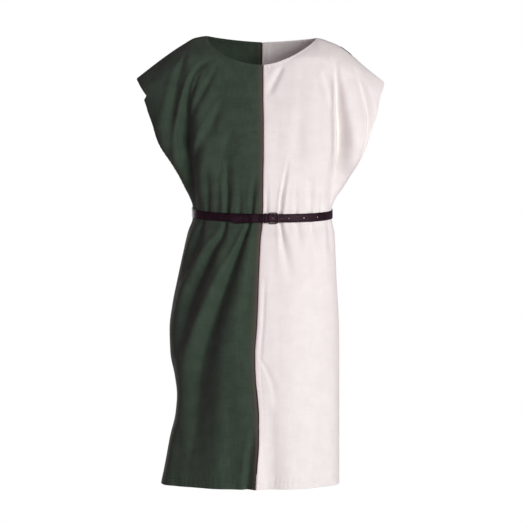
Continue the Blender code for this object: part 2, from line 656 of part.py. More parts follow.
def rod(name, path, radius, sides, closed=False):
    """A round bar along points given on the belt."""
    points = np.array([on_belt(*point) for point in path])
    if closed:
        ahead = np.roll(points, -1, axis=0) - np.roll(points, 1, axis=0)
    else:
        ahead = np.gradient(points, axis=0)
    ahead /= np.linalg.norm(ahead, axis=-1, keepdims=True)
    side = np.cross(ahead[0], SLANT)
    mesh = bmesh.new()
    rings = []
    for point, forward in zip(points, ahead):
        side = side - forward * side.dot(forward)
        side /= np.linalg.norm(side)
        other = np.cross(forward, side)
        angles = 2 * math.pi * np.arange(sides) / sides
        rings.append([
            mesh.verts.new(point + radius * (math.cos(a) * side + math.sin(a) * other))
            for a in angles
        ])
    bridge(mesh, rings, closed)
    return new_object(name, mesh, "buckle_metal")


def hole_cutter(name, along):
    """A round punch through the strap's outer layer at one place along it."""
    offset = leg_offset(FREE_LEG, along)
    reach = STRAP / 2 + LEATHER_GAP / 2
    path = [(along, offset + sign * reach, -tail_drop(along)) for sign in (-1, 1)]
    return rod(name, path, HOLE_RADIUS, HOLE_SIDES)


def eye_cutter():
    """The long hole that the prong has opened."""
    first, last, half = PRONG_EYE
    mesh = bmesh.new()
    rings = []
    for offset in EYE_OFFSETS:
        ring = [(first, -half), (last, -half), (last, half), (first, half)]
        rings.append([mesh.verts.new(on_belt(a, offset, up)) for a, up in ring])
    bridge(mesh, rings, closed=False)
    return new_object("eye_cutter", mesh, "buckle_metal")


def cut(target, cutter):
    cutter.hide_render = True
    cutter.display_type = "WIRE"
    modifier = target.modifiers.new(cutter.name, "BOOLEAN")
    modifier.operation = "DIFFERENCE"
    modifier.solver = "EXACT"
    modifier.object = cutter


def buckle_frame():
    """The frame: a straight heel bar, and rounder corners at the end bar."""
    path = []
    corners = (
        (END_BAR, -1, "end", -90),
        (END_BAR, 1, "end", 0),
        (HEEL_BAR, 1, "heel", 90),
        (HEEL_BAR, -1, "heel", 180),
    )
    for along, rise, kind, start in corners:
        radius = FRAME_CORNERS[kind]
        inward = -1 if kind == "end" else 1
        for angle in np.radians(np.linspace(start, start + 90, 6 if kind == "end" else 4)):
            a = along + inward * radius + radius * math.cos(angle)
            up = rise * (FRAME_HALF_HEIGHT - radius) + radius * math.sin(angle)
            path.append((a, BAR_OFFSET, up))
    rod("buckle_frame", path, BAR_RADIUS, ROD_SIDES, closed=True)


def buckle_prong():
    """The prong: its wire goes round the heel bar, out through the eye, onto the end bar."""
    first, last = PRONG_RING
    path = []
    for angle in np.radians(np.linspace(first, last, 13)):
        along = HEEL_BAR + WRAP_RADIUS * math.cos(angle)
        path.append((along, BAR_OFFSET + WRAP_RADIUS * math.sin(angle), 0.0))
    path += [(along, offset, 0.0) for along, offset in PRONG_PATH]
    rod("buckle_prong", path, PRONG_RADIUS, ROD_SIDES)


def belt_keeper():
    """The loop that holds the tail: a leather band round both layers of the strap."""
    low, high, thick = KEEPER["low"], KEEPER["high"], KEEPER["thick"]
    half = STRAP_WIDTH / 2 + LEATHER_GAP
    mesh = bmesh.new()
    sections = []
    for along in (KEEPER["from"], KEEPER["to"]):
        inner = [(low, -half), (high, -half), (high, half), (low, half)]
        outer = [
            (low - thick, -half), (low, -half - thick), (high, -half - thick),
            (high + thick, -half), (high + thick, half), (high, half + thick),
            (low, half + thick), (low - thick, half),
        ]
        sections.append([
            [mesh.verts.new(on_belt(along, offset, up)) for offset, up in ring]
            for ring in (inner, outer)
        ])
    (inner_a, outer_a), (inner_b, outer_b) = sections
    for k in range(4):
        m = (k + 1) % 4
        mesh.faces.new((inner_a[k], inner_a[m], inner_b[m], inner_b[k]))
    for k in range(8):
        m = (k + 1) % 8
        mesh.faces.new((outer_a[m], outer_a[k], outer_b[k], outer_b[m]))
    for inner, outer, flip in ((inner_a, outer_a, 1), (inner_b, outer_b, -1)):
        for k in range(4):
            corner, before, after = inner[k], outer[2 * k], outer[2 * k + 1]
            mesh.faces.new((corner, before, after)[::flip])
            m = (k + 1) % 4
            mesh.faces.new((corner, after, outer[(2 * k + 2) % 8], inner[m])[::flip])
    bmesh.ops.recalc_face_normals(mesh, faces=mesh.faces)
    new_object("belt_keeper", mesh, "belt_leather")


def main():
    for old in list(bpy.data.objects):
        bpy.data.objects.remove(old)
    panels()
    strap_object()
    buckle_frame()
    buckle_prong()
    belt_keeper()


main()
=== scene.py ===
"""Looks of the belted tabard: sewn cloth shells, a leather belt with its buckle, floor and light.

Metres, +Z up, front towards -Y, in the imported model's frame. "left" is the green half at -X and
"right" the natural half at +X.
"""

import math

import bmesh
import bpy
import numpy as np
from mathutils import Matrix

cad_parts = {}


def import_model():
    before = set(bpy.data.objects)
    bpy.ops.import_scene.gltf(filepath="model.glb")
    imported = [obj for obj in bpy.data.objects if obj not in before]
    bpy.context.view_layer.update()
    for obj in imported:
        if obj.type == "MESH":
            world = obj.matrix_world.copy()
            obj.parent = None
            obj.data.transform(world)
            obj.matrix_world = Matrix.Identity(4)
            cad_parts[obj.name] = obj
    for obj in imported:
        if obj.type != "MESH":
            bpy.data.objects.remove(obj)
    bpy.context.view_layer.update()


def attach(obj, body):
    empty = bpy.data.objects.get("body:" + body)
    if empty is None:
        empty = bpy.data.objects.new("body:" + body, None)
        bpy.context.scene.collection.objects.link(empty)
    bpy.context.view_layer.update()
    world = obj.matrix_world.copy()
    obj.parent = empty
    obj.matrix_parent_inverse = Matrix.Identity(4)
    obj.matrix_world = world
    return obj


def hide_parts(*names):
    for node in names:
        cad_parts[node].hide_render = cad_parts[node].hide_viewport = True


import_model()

# Cloth sizes
SEAM_GAP = 0.0003
NECK_SHARE = 0.437  # half the neck opening, as a share of the half-width at the shoulder tips
FRONT_NECK = -0.077
BACK_NECK = -0.009
SHOULDER_ROUND = (0.062, 0.050)  # height over which the cloth turns down, at neck and tip
SHOULDER_CURVE = 1.5  # 1 would be a flat slope, 2 a round
HEM = -1.112
SLIT_TOP = -0.800
SLIT_GAPE = 0.0022
BACK_SEAM = 0.002
ARMHOLE = (-0.110, -0.400)  # the side edge is free between these heights

# Belt sizes
BELT_HEIGHT = -0.438
BELT_TILT = 0.15
BELT_ROLL = -0.012
BELT_BAND = 0.014
BELT_REACH = 0.20
STRAP_WIDTH = 0.021
STRAP = 0.0018
LEATHER_GAP = 0.0003
HEEL_BAR = 0.016
BAR_OFFSET = 0.0036
BAR_RADIUS = 0.0013
END_BAR = 0.0377
FRAME_HALF_HEIGHT = 0.0128
FRAME_CORNERS = {"heel": 0.0030, "end": 0.0070}
WRAP_RADIUS = 0.0024
PRONG_RADIUS = 0.0008
PRONG_SLOT = 0.0015
SLOT_CLEARANCE = 0.0002
PRONG_EYE = (0.0225, 0.0300, 0.0017)
EYE_OFFSETS = (0.0003, 0.0074)
TAIL_TIP = -0.080
TAIL_POINT = 0.014
TAIL_END = 0.12
TAIL_DROP = 0.0045
HOLE_PITCH = 0.019
HOLE_RADIUS = 0.0017
FIRST_HOLE = -0.049
HOLES = 11
PRONG_HOLE = 4
KEEPER = {"from": 0.0040, "to": 0.0105, "low": 0.0036, "high": 0.0082, "thick": 0.0012}
FOLDED_END = -0.022
CLOTH_TO_STRAP = 0.0012

# The cloth's sections, top to bottom
SECTION_COLUMNS = ("height", "left", "right", "front", "back", "gape", "square", "seam")
SECTIONS = (
    (0.010, 0.3155, 0.3100, 0.058, 0.060, 0.000, 2.0, 0.003),
    (-0.050, 0.3155, 0.3100, 0.072, 0.075, 0.000, 2.0, 0.003),
    (-0.105, 0.3155, 0.3100, 0.088, 0.092, 0.000, 2.0, 0.003),
    (-0.160, 0.2940, 0.2920, 0.103, 0.105, 0.030, 1.9, 0.003),
    (-0.210, 0.2750, 0.2780, 0.113, 0.111, 0.056, 1.7, 0.004),
    (-0.260, 0.2560, 0.2630, 0.118, 0.112, 0.066, 1.7, 0.004),
    (-0.300, 0.2340, 0.2460, 0.119, 0.111, 0.048, 1.8, 0.004),
    (-0.345, 0.2080, 0.2190, 0.117, 0.109, 0.014, 1.9, 0.003),
    (-0.375, 0.1935, 0.2005, 0.115, 0.108, 0.003, 2.0, 0.003),
    (-0.402, 0.1805, 0.1825, 0.113, 0.106, 0.000, 2.1, 0.003),
    (-0.424, 0.1735, 0.1745, 0.112, 0.105, 0.000, 2.2, 0.002),
    (-0.452, 0.1735, 0.1745, 0.112, 0.105, 0.000, 2.2, 0.001),
    (-0.487, 0.1850, 0.1810, 0.121, 0.114, 0.000, 2.2, -0.003),
    (-0.547, 0.1990, 0.1840, 0.131, 0.127, 0.000, 2.1, -0.006),
    (-0.607, 0.2120, 0.1865, 0.139, 0.139, 0.000, 2.1, -0.008),
    (-0.667, 0.2240, 0.1900, 0.145, 0.147, 0.000, 2.1, -0.010),
    (-0.727, 0.2310, 0.1925, 0.149, 0.150, 0.000, 2.1, -0.013),
    (-0.787, 0.2290, 0.1930, 0.151, 0.151, 0.000, 2.1, -0.017),
    (-0.847, 0.2175, 0.1930, 0.152, 0.151, 0.000, 2.1, -0.015),
    (-0.892, 0.2125, 0.1930, 0.152, 0.151, 0.000, 2.1, -0.011),
    (-0.937, 0.2160, 0.1930, 0.152, 0.152, 0.000, 2.1, -0.008),
    (-0.997, 0.2300, 0.1930, 0.152, 0.153, 0.000, 2.1, -0.008),
    (-1.057, 0.2410, 0.1930, 0.152, 0.154, 0.000, 2.1, -0.012),
    (-1.112, 0.2520, 0.1930, 0.152, 0.155, 0.000, 2.1, -0.015),
)

# Where the side edge steps in under the tip of each cap
NOTCH_COLUMNS = ("height", "left", "right")
NOTCH = (
    (-0.100, 0.0000, 0.0000),
    (-0.116, 0.0060, 0.0030),
    (-0.149, 0.0130, 0.0030),
    (-0.160, 0.0015, 0.0010),
    (-0.190, 0.0000, 0.0000),
)
NOTCH_SHARE = 0.80

# Height of the shoulder seam, out from the centre as a share of the half-width at the tips
RIDGE_COLUMNS = ("share", "left", "right")
RIDGE = (
    (0.000, 0.0015, 0.0015),
    (0.437, 0.0040, -0.0010),
    (0.526, 0.0000, -0.0090),
    (0.632, -0.0180, -0.0240),
    (0.777, -0.0490, -0.0590),
    (0.890, -0.0760, -0.0880),
    (1.000, -0.1030, -0.1130),
)

# How round the neckline is: it falls by (1 - share ** hollow) ** full
NECKLINE_COLUMNS = ("side", "face", "hollow", "full")
NECKLINE = (
    ("left", "front", 2.0, 0.58),
    ("right", "front", 1.6, 0.80),
    ("left", "back", 1.4, 0.90),
    ("right", "back", 1.4, 0.90),
)

# Folds: face, lean, and the crease's stations from its top. A lean above 0 makes the -X wall the
# steeper one. A station is across, height, half-width and depth in mm, minus for a ridge.
FOLD_COLUMNS = ("face", "lean", "stations")
STATION_COLUMNS = ("x", "z", "wide", "deep")
FOLDS = (
    # Under and over the green shoulder cap
    ("front", 0.3, ((-185, -38, 5, 0), (-197, -70, 7, 4), (-209, -110, 11, 8), (-218, -154, 12, 9),
        (-225, -194, 12, 7), (-232, -238, 10, 0))),
    ("front", 0.4, ((-108, -49, 5, 0), (-133, -65, 6, 3), (-155, -80, 7, 5), (-172, -105, 7, 7),
        (-182, -134, 8, 10), (-189, -174, 11, 17), (-192, -219, 14, 26), (-194, -263, 16, 32),
        (-192, -312, 16, 30), (-184, -356, 14, 20), (-176, -400, 11, 9), (-168, -439, 9, 4))),
    ("front", 0.3, ((-111, -75, 4, 0), (-125, -105, 6, 4), (-140, -132, 7, 6), (-154, -159, 7, 7),
        (-167, -187, 7, 4), (-174, -209, 6, 0))),
    ("front", 0.2, ((-150, -92, 3, 0), (-160, -110, 4, 3), (-168, -134, 4, 4), (-174, -154, 4, 0))),
    ("front", 0.3, ((-96, -159, 6, 0), (-113, -199, 9, 5), (-132, -238, 11, 8), (-152, -273, 12, 8),
        (-166, -307, 11, 6), (-176, -346, 10, 0))),
    ("front", 0, ((-240, -154, 14, 0), (-250, -214, 18, -7), (-239, -283, 18, -6), (-215, -342, 14, 0))),
    # Over the green chest and into the belt
    ("front", 0.2, ((-71, -229, 8, 0), (-90, -290, 12, 5), (-104, -356, 12, 3), (-110, -422, 8, 2),
        (-111, -449, 6, 2))),
    ("front", 0.3, ((-83, -293, 6, 0), (-87, -361, 9, 6), (-88, -410, 7, 9), (-89, -449, 6, 9))),
    ("front", 0.3, ((-15, -342, 6, 0), (-22, -386, 7, 6), (-25, -417, 6, 9), (-26, -449, 5, 9))),
    ("front", 0, ((-137, -317, 8, 0), (-134, -378, 8, 5), (-134, -449, 6, 6))),
    ("front", 0, ((-54, -356, 7, 0), (-54, -400, 7, 2), (-56, -449, 6, 4))),
    # Green skirt
    ("front", 0.35, ((-24, -449, 4, 7), (-45, -498, 6, 12), (-61, -539, 9, 15), (-77, -576, 13, 19),
        (-96, -624, 17, 23), (-118, -680, 20, 26), (-139, -738, 24, 27), (-156, -803, 27, 26),
        (-165, -876, 29, 23), (-169, -955, 30, 18), (-177, -1040, 32, 12), (-181, -1122, 34, 10))),
    ("front", 0.3, ((-85, -449, 5, 5), (-102, -498, 8, 10), (-122, -527, 10, 14), (-143, -566, 13, 18),
        (-163, -605, 15, 19), (-182, -658, 16, 16), (-196, -726, 16, 10), (-203, -786, 14, 3))),
    ("front", 0.2, ((-141, -449, 5, 4), (-151, -474, 7, 8), (-165, -515, 10, 9), (-182, -561, 12, 6),
        (-197, -617, 12, 0))),
    ("front", 0, ((-29, -551, 8, 0), (-34, -632, 12, 3), (-46, -726, 16, 0))),
    ("front", 0, ((-82, -883, 16, 0), (-77, -968, 20, 4), (-77, -1122, 26, 6))),
    ("front", 0.2, ((-203, -955, 10, 0), (-208, -1028, 14, 6), (-218, -1122, 16, 8))),
    ("front", 0.2, ((-20, -960, 7, 0), (-29, -1021, 8, 6), (-38, -1122, 9, 10))),
    ("front", 0, ((-8, -975, 7, 0), (-9, -1040, 9, -3), (-12, -1122, 10, -5))),
    # Under and over the natural shoulder cap
    ("front", 0.4, ((181, -85, 4, 0), (183, -110, 5, 7), (186, -144, 7, 14), (188, -189, 9, 20),
        (192, -238, 11, 26), (193, -288, 12, 29), (188, -337, 12, 26), (178, -386, 10, 16),
        (168, -430, 8, 6))),
    ("front", 0.3, ((225, -75, 4, 0), (236, -100, 5, 5), (248, -134, 6, 8), (258, -174, 7, 10),
        (263, -214, 7, 9), (258, -263, 7, 8), (244, -307, 7, 4), (229, -337, 7, 0))),
    ("front", 0.2, ((149, -90, 6, 0), (159, -115, 8, 4), (169, -152, 9, 4), (175, -194, 9, 0))),
    ("front", 0, ((170, -57, 6, 0), (182, -72, 6, 3), (187, -100, 5, 0))),
    # Over the natural chest and into the belt
    ("front", 0, ((53, -75, 5, 0), (39, -102, 7, 4), (26, -129, 8, 4), (15, -157, 7, 0))),
    ("front", 0.3, ((64, -310, 4, 0), (57, -350, 4, 3), (51, -382, 4, 7), (46, -415, 4, 10),
        (44, -449, 4, 10))),
    ("front", 0, ((95, -177, 12, 0), (88, -263, 16, 2.5), (78, -349, 16, 0))),
    ("front", 0, ((117, -356, 6, 0), (119, -400, 7, 4), (119, -449, 6, 7))),
    ("front", 0, ((154, -346, 7, 0), (151, -395, 8, 5), (146, -449, 6, 7))),
    ("front", 0, ((12, -376, 5, 0), (12, -410, 5, 2), (10, -449, 4, 3))),
    ("front", 0, ((85, -376, 6, 0), (85, -410, 6, 2), (83, -449, 5, 4))),
    # Natural skirt
    ("front", 0.2, ((42, -449, 4, 10), (47, -488, 5, 9), (53, -527, 8, 7), (63, -566, 12, 5),
        (75, -624, 14, 0))),
    ("front", 0, ((119, -449, 5, 7), (126, -498, 9, 6), (134, -561, 14, 6), (137, -629, 18, 4),
        (138, -702, 18, 0))),
    ("front", 0, ((163, -449, 5, 6), (168, -498, 8, 5), (175, -581, 12, 0))),
    ("front", 0, ((85, -449, 5, 4), (88, -483, 7, 3), (95, -532, 10, 0))),
    ("front", 0, ((7, -595, 4, 0), (5, -641, 4, 1.4), (3, -697, 4, 1.7), (-1, -750, 4, 1.7),
        (-4, -796, 4, 1.2))),
    ("front", 0.2, ((-7, -796, 3, 1.2), (5, -813, 4, 1.6), (19, -842, 6, 1.6), (30, -885, 8, 1.4),
        (34, -948, 12, 0))),
    ("front", 0, ((14, -895, 12, 0), (24, -992, 18, 5), (22, -1122, 20, 8))),
    ("front", 0, ((135, -847, 18, 0), (145, -968, 24, 4), (145, -1122, 28, 6))),
    ("front", 0, ((92, -726, 30, 0), (87, -895, 30, -3), (82, -1064, 30, 0))),
    # Back, from the shoulders to the belt
    ("back", 0.4, ((-182, -100, 8, 0), (-187, -150, 10, 14), (-193, -210, 13, 24),
        (-197, -280, 15, 30), (-193, -340, 14, 24), (-184, -385, 11, 12), (-174, -425, 8, 4))),
    ("back", -0.4, ((184, -104, 8, 0), (189, -155, 10, 14), (195, -215, 13, 24), (199, -285, 15, 29),
        (194, -345, 14, 23), (186, -388, 11, 11), (176, -425, 8, 4))),
    ("back", 0.2, ((-136, -56, 6, 0), (-155, -85, 10, 6), (-178, -125, 12, 9), (-206, -190, 12, 0))),
    ("back", -0.2, ((144, -64, 6, 0), (164, -96, 10, 6), (188, -138, 12, 8), (214, -200, 12, 0))),
    ("back", 0.2, ((-122, -130, 10, 0), (-110, -200, 13, 6), (-102, -280, 15, 5), (-97, -360, 12, 8),
        (-96, -452, 7, 10))),
    ("back", -0.2, ((128, -165, 10, 0), (112, -240, 13, 6), (100, -320, 14, 6), (93, -390, 10, 9),
        (92, -460, 7, 10))),
    ("back", 0.2, ((-38, -240, 12, 0), (-33, -330, 14, 6), (-37, -400, 9, 9), (-43, -456, 6, 10))),
    ("back", -0.2, ((48, -215, 12, 0), (49, -310, 14, 6), (43, -390, 9, 9), (36, -460, 6, 10))),
    ("back", 0, ((-68, -330, 8, 0), (-70, -390, 8, 5), (-69, -455, 6, 7))),
    ("back", 0, ((64, -340, 8, 0), (66, -395, 8, 5), (64, -455, 6, 7))),
    ("back", 0, ((6, -350, 8, 0), (2, -400, 8, 4), (-4, -455, 6, 6))),
    ("back", 0, ((-132, -335, 9, 0), (-130, -390, 9, 6), (-128, -450, 7, 7))),
    ("back", 0, ((134, -345, 9, 0), (132, -395, 9, 6), (128, -452, 7, 7))),
    ("back", 0, ((22, -24, 12, 0), (15, -80, 16, 3), (18, -165, 18, 0))),
    # Back of the skirt
    ("back", -0.3, ((-96, -440, 6, 9), (-102, -520, 13, 15), (-110, -620, 20, 20),
        (-117, -740, 25, 20), (-123, -880, 28, 13), (-124, -1000, 30, 12), (-120, -1120, 32, 14))),
    ("back", 0, ((-42, -440, 6, 9), (-39, -530, 14, 12), (-42, -640, 22, 12), (-52, -790, 24, 0))),
    ("back", 0.3, ((36, -440, 6, 9), (41, -530, 13, 14), (47, -640, 20, 18), (52, -760, 25, 16),
        (57, -900, 28, 11), (58, -1010, 30, 11), (54, -1120, 32, 13))),
    ("back", 0.1, ((92, -440, 6, 9), (102, -520, 13, 13), (116, -620, 20, 15), (134, -770, 24, 0))),
    ("back", 0, ((64, -440, 6, 6), (68, -500, 9, 6), (80, -580, 12, 0))),
    ("back", 0, ((-69, -440, 6, 6), (-73, -500, 9, 6), (-80, -580, 12, 0))),
    ("back", 0, ((-128, -440, 6, 6), (-142, -510, 11, 8), (-168, -630, 16, 0))),
    ("back", 0, ((128, -440, 6, 6), (140, -510, 11, 8), (158, -610, 16, 0))),
    ("back", 0, ((-4, -440, 5, 5), (-6, -500, 8, 4), (-3, -590, 12, 0))),
    ("back", 0, ((-28, -860, 26, 0), (-30, -980, 32, -5), (-30, -1120, 36, -8))),
    ("back", 0, ((132, -800, 28, 0), (140, -950, 34, -5), (138, -1120, 36, -8))),
    ("back", 0, ((-176, -820, 14, 0), (-181, -960, 20, 5), (-187, -1120, 24, 7))),
    ("back", 0, ((12, -930, 12, 0), (10, -1020, 15, 4), (14, -1120, 18, 6))),
)
MILLIMETRE = 0.001
CREASE_STEPS = 8  # between two stations
RIDGE_BESIDE = 0.20
RIDGE_AWAY = 2.1
FACING = (0.10, 0.55)
TOP_HELD = 0.025  # no fold reaches nearer to a top edge

# Slow waves that no table row makes: size across and down, and how far they move the cloth
WAVES = ((0.060, 0.260, 0.0022), (0.028, 0.110, 0.0009), (0.011, 0.040, 0.00022))
WAVE_SEED = {"front": 11, "back": 23}

# Sewing
CLOTH = 0.0010
TURNED = 0.0008  # extra thickness where an edge is turned in
ALLOWANCE = (0.0007, 0.0155)  # extra thickness and width of the pressed seam allowance
NECK_STITCH = 0.0075  # distance of each line of stitches from its edge
ARM_STITCH = 0.0095
HEM_STITCH = 0.0150
SLIT_STITCH = 0.0125
GROOVE = 0.0006
GROOVE_WIDTH = 0.0013
BAND_SWELL = 0.0006  # how far a turned edge stands out
PUCKER = 0.0004
PUCKER_PITCH = 0.012
SEAM_DIP = {"left": 0.0026, "right": 0.0009}
SEAM_WIDTH = 0.0022
STITCH = 0.0026
STITCH_PITCH = 0.0034
STITCH_RADIUS = 0.00028

# Mesh density
COLUMNS = 132
NECK_COLUMNS = (0.970, 0.982, 0.990, 0.9955, 0.999, 1.003)  # extra ones, as shares of the neck's
UPPER_ROWS = 72
LOWER_ROWS = 236
LEVEL_FROM = -0.165  # the rows are level from here down
SEAM_COLUMNS = (0, 0.0007, 0.0016, 0.0026, 0.004, 0.006, 0.0085, 0.0105, 0.0118, 0.013, 0.0142, 0.0165)
EDGE_COLUMNS = (0, 0.0007, 0.002, 0.0038, 0.0055, 0.007, 0.0082, 0.0094, 0.0106, 0.012, 0.0145)
TOP_ROWS = (0, 0.0007, 0.002, 0.0035, 0.005, 0.0062, 0.0072, 0.0082, 0.0094, 0.011, 0.0135)
HEM_ROWS = (0, 0.0007, 0.0025, 0.006, 0.010, 0.0125, 0.0138, 0.0148, 0.0158, 0.0170, 0.020)
NOMINAL_SECTION = (0.205, 0.128, 2.1)
COLUMN_SAMPLES = 400
FLAT_LEVELS = 160
SHARE_SAMPLES = 4001

SIDES = {"left": -1.0, "right": 1.0}
FACES = {"front": -1.0, "back": 1.0}
PANELS = {
    ("front", "left"): "front_green",
    ("front", "right"): "front_natural",
    ("back", "left"): "back_green",
    ("back", "right"): "back_natural",
}


def columns(names, rows):
    """A table's columns by name, as arrays."""
    return {name: np.array([row[i] for row in rows]) for i, name in enumerate(names)}


def smooth_at(stations, values, at):
    """A smooth curve through values at rising stations, read at any places inside them."""
    step = np.diff(stations)
    rise = np.diff(values) / step
    slope = np.empty_like(values)
    slope[0], slope[-1] = rise[0], rise[-1]
    product = rise[:-1] * rise[1:]
    total = np.where(product > 0, rise[:-1] + rise[1:], 1.0)
    slope[1:-1] = np.where(product > 0, 2 * product / total, 0.0)
    at = np.clip(at, stations[0], stations[-1])
    i = np.clip(np.searchsorted(stations, at) - 1, 0, len(stations) - 2)
    t = (at - stations[i]) / step[i]
    start = (1 + 2 * t) * (1 - t) ** 2 * values[i] + t * (1 - t) ** 2 * step[i] * slope[i]
    end = t * t * (3 - 2 * t) * values[i + 1] + t * t * (t - 1) * step[i] * slope[i + 1]
    return start + end


SECTION = columns(SECTION_COLUMNS, SECTIONS[::-1])
SEAM_LINE = columns(RIDGE_COLUMNS, RIDGE)
NOTCH_EDGE = columns(NOTCH_COLUMNS, NOTCH[::-1])


def section(name, height):
    return smooth_at(SECTION["height"], SECTION[name], height)


def ridge_height(side, share):
    return smooth_at(SEAM_LINE["share"], SEAM_LINE[side], share)


def top_height(side, face, share):
    """Height of a panel's top edge: the neckline, then the shoulder seam."""
    rows = [dict(zip(NECKLINE_COLUMNS, row)) for row in NECKLINE]
    curve = next(row for row in rows if row["side"] == side and row["face"] == face)
    inside = np.clip(share / NECK_SHARE, 0.0, 1.0)
    corner = ridge_height(side, NECK_SHARE)
    lowest = FRONT_NECK if face == "front" else BACK_NECK
    neckline = corner + (lowest - corner) * (1 - inside ** curve["hollow"]) ** curve["full"]
    return np.where(share < NECK_SHARE, neckline, ridge_height(side, share))


def smoothstep(low, high, value):
    t = np.clip((value - low) / (high - low), 0.0, 1.0)
    return t * t * (3 - 2 * t)


def bell(value, wide):
    return np.exp(-((value / wide) ** 2))


def band_share(height):
    away = np.abs(height - BELT_HEIGHT) - BELT_BAND
    return 1 - smoothstep(0.0, BELT_REACH, away)


def belt_rise(x, y):
    return BELT_TILT * y + BELT_ROLL * x


def base_point(side, face, share, height):
    """The cloth without its folds: a rounded section, turned down from the shoulder seam."""
    half = section(side, height)
    seam = section("seam", height) if face == "front" else BACK_SEAM
    step = np.interp(height, NOTCH_EDGE["height"], NOTCH_EDGE[side]) * smoothstep(NOTCH_SHARE, 1.0, share)
    x = seam * (1 - share) + SIDES[side] * (half * share - step)
    out = np.clip(np.abs(x) / half, 0.0, 1.0)
    square = section("square", height)
    rounded = (1 - out**square) ** (1 / square)
    gape = section("gape", height)
    depth = gape + (section(face, height) - gape) * rounded
    tip = section(side, SECTION["height"][-1])
    shoulder_share = np.clip(np.abs(x) / tip, 0.0, 1.0)
    drop = np.maximum(ridge_height(side, shoulder_share) - height, 0.0)
    inner_turn, outer_turn = SHOULDER_ROUND
    turn = inner_turn + (outer_turn - inner_turn) * smoothstep(0.2, 1.2, shoulder_share)
    fall = np.clip(drop / turn, 0.0, 1.0)
    y = FACES[face] * depth * (1 - (1 - fall) ** SHOULDER_CURVE) ** (1 / SHOULDER_CURVE)
    z = height + band_share(height) * belt_rise(x, y)
    return np.stack([x, y, z], axis=-1)


def lengths(points, axis):
    """Distance along rows or columns of points, from the first one."""
    step = np.linalg.norm(np.diff(points, axis=axis), axis=-1)
    total = np.cumsum(step, axis=axis)
    pad = [(0, 0)] * total.ndim
    pad[axis] = (1, 0)
    return np.pad(total, pad)


def spaced(length, near, far, count):
    """Places along a length: given distances from each end, and even steps between."""
    inner = count + 3 - len(near) - len(far)
    middle = np.linspace(near[-1], length - far[-1], inner)[1:-1]
    return np.concatenate([near, middle, length - np.array(far)[::-1]])


def column_shares():
    """Shares of the half-width from the centre seam to the side, closer near both."""
    half, depth, square = NOMINAL_SECTION
    share = np.sin(np.linspace(0.0, 1.0, SHARE_SAMPLES) * math.pi / 2) ** (2 / square)
    line = np.stack([half * share, depth * (1 - share**square) ** (1 / square)], axis=-1)
    along = lengths(line, 0)
    even = np.interp(spaced(along[-1], SEAM_COLUMNS, EDGE_COLUMNS, COLUMNS), along, share)
    return np.sort(np.concatenate([even, NECK_SHARE * np.array(NECK_COLUMNS)]))


def side_points(side, face, shares):
    """One half of a face without folds, in rows from its top edge to the hem."""
    tops = top_height(side, face, shares)
    u = np.linspace(0.0, 1.0, COLUMN_SAMPLES)[:, None] ** 2
    fine = tops + (LEVEL_FROM - tops) * u
    along = lengths(base_point(side, face, shares, fine), 0)
    upper = np.empty((UPPER_ROWS + 1, len(shares)))
    for j in range(len(shares)):
        places = spaced(along[-1, j], TOP_ROWS, (0.0,), UPPER_ROWS)
        upper[:, j] = np.interp(places, along[:, j], fine[:, j])
    level = LEVEL_FROM - spaced(LEVEL_FROM - HEM, (0.0,), HEM_ROWS, LOWER_ROWS)[1:]
    lower = np.repeat(level[:, None], len(shares), axis=1)
    return base_point(side, face, shares, np.concatenate([upper, lower]))


def flat_places(side, face, shares, points):
    """Each point's place on the flat cloth: out from the centre seam, and up from the hem."""
    levels = np.linspace(HEM, SECTION["height"][-1], FLAT_LEVELS)
    table = lengths(base_point(side, face, shares, levels[:, None]), 1)
    across = [np.interp(points[:, j, 2], levels, table[:, j]) for j in range(len(shares))]
    down = lengths(points, 0)
    return np.stack([np.stack(across, axis=1), down[-1:] - down], axis=-1)


def grid_normals(points, face):
    """Outward normals at a grid's points, each the mean of the quads around it."""
    across = np.diff(points, axis=1)
    down = np.diff(points, axis=0)
    quad = np.cross(down[:, :-1] + down[:, 1:], across[:-1] + across[1:])
    total = np.zeros_like(points)
    for i in (0, 1):
        for j in (0, 1):
            total[i:len(points) - 1 + i, j:points.shape[1] - 1 + j] += quad
    total *= -FACES[face]
    return total / np.linalg.norm(total, axis=-1, keepdims=True)


def crease_line(stations):
    """A smooth crease through its stations: x, z, half-width and depth, in metres."""
    table = columns(STATION_COLUMNS, stations)
    number = np.arange(len(stations), dtype=float)
    at = np.linspace(0.0, number[-1], CREASE_STEPS * (len(stations) - 1) + 1)
    return np.stack([smooth_at(number, table[name] * MILLIMETRE, at) for name in STATION_COLUMNS], axis=-1)


def fold_depth(fold, x, z):
    """How far one fold draws the cloth in at each point, and swells it beside the crease."""
    line = crease_line(fold["stations"])
    start, run = line[:-1, :2], np.diff(line[:, :2], axis=0)
    best = np.full(x.shape, np.inf)
    side, wide, deep = np.ones(x.shape), np.ones(x.shape), np.zeros(x.shape)
    for i in range(len(run)):
        dx, dz = x - start[i, 0], z - start[i, 1]
        share = np.clip((dx * run[i, 0] + dz * run[i, 1]) / run[i].dot(run[i]), 0.0, 1.0)
        away = np.hypot(dx - share * run[i, 0], dz - share * run[i, 1])
        closer = away < best
        best = np.where(closer, away, best)
        side = np.where(closer, np.sign(run[i, 0] * dz - run[i, 1] * dx), side)
        wide = np.where(closer, line[i, 2] + share * (line[i + 1, 2] - line[i, 2]), wide)
        deep = np.where(closer, line[i, 3] + share * (line[i + 1, 3] - line[i, 3]), deep)
    wide = wide * (1 + fold["lean"] * side)
    swell = RIDGE_BESIDE * bell(best - RIDGE_AWAY * wide, wide)
    return deep * (bell(best, wide) - swell)


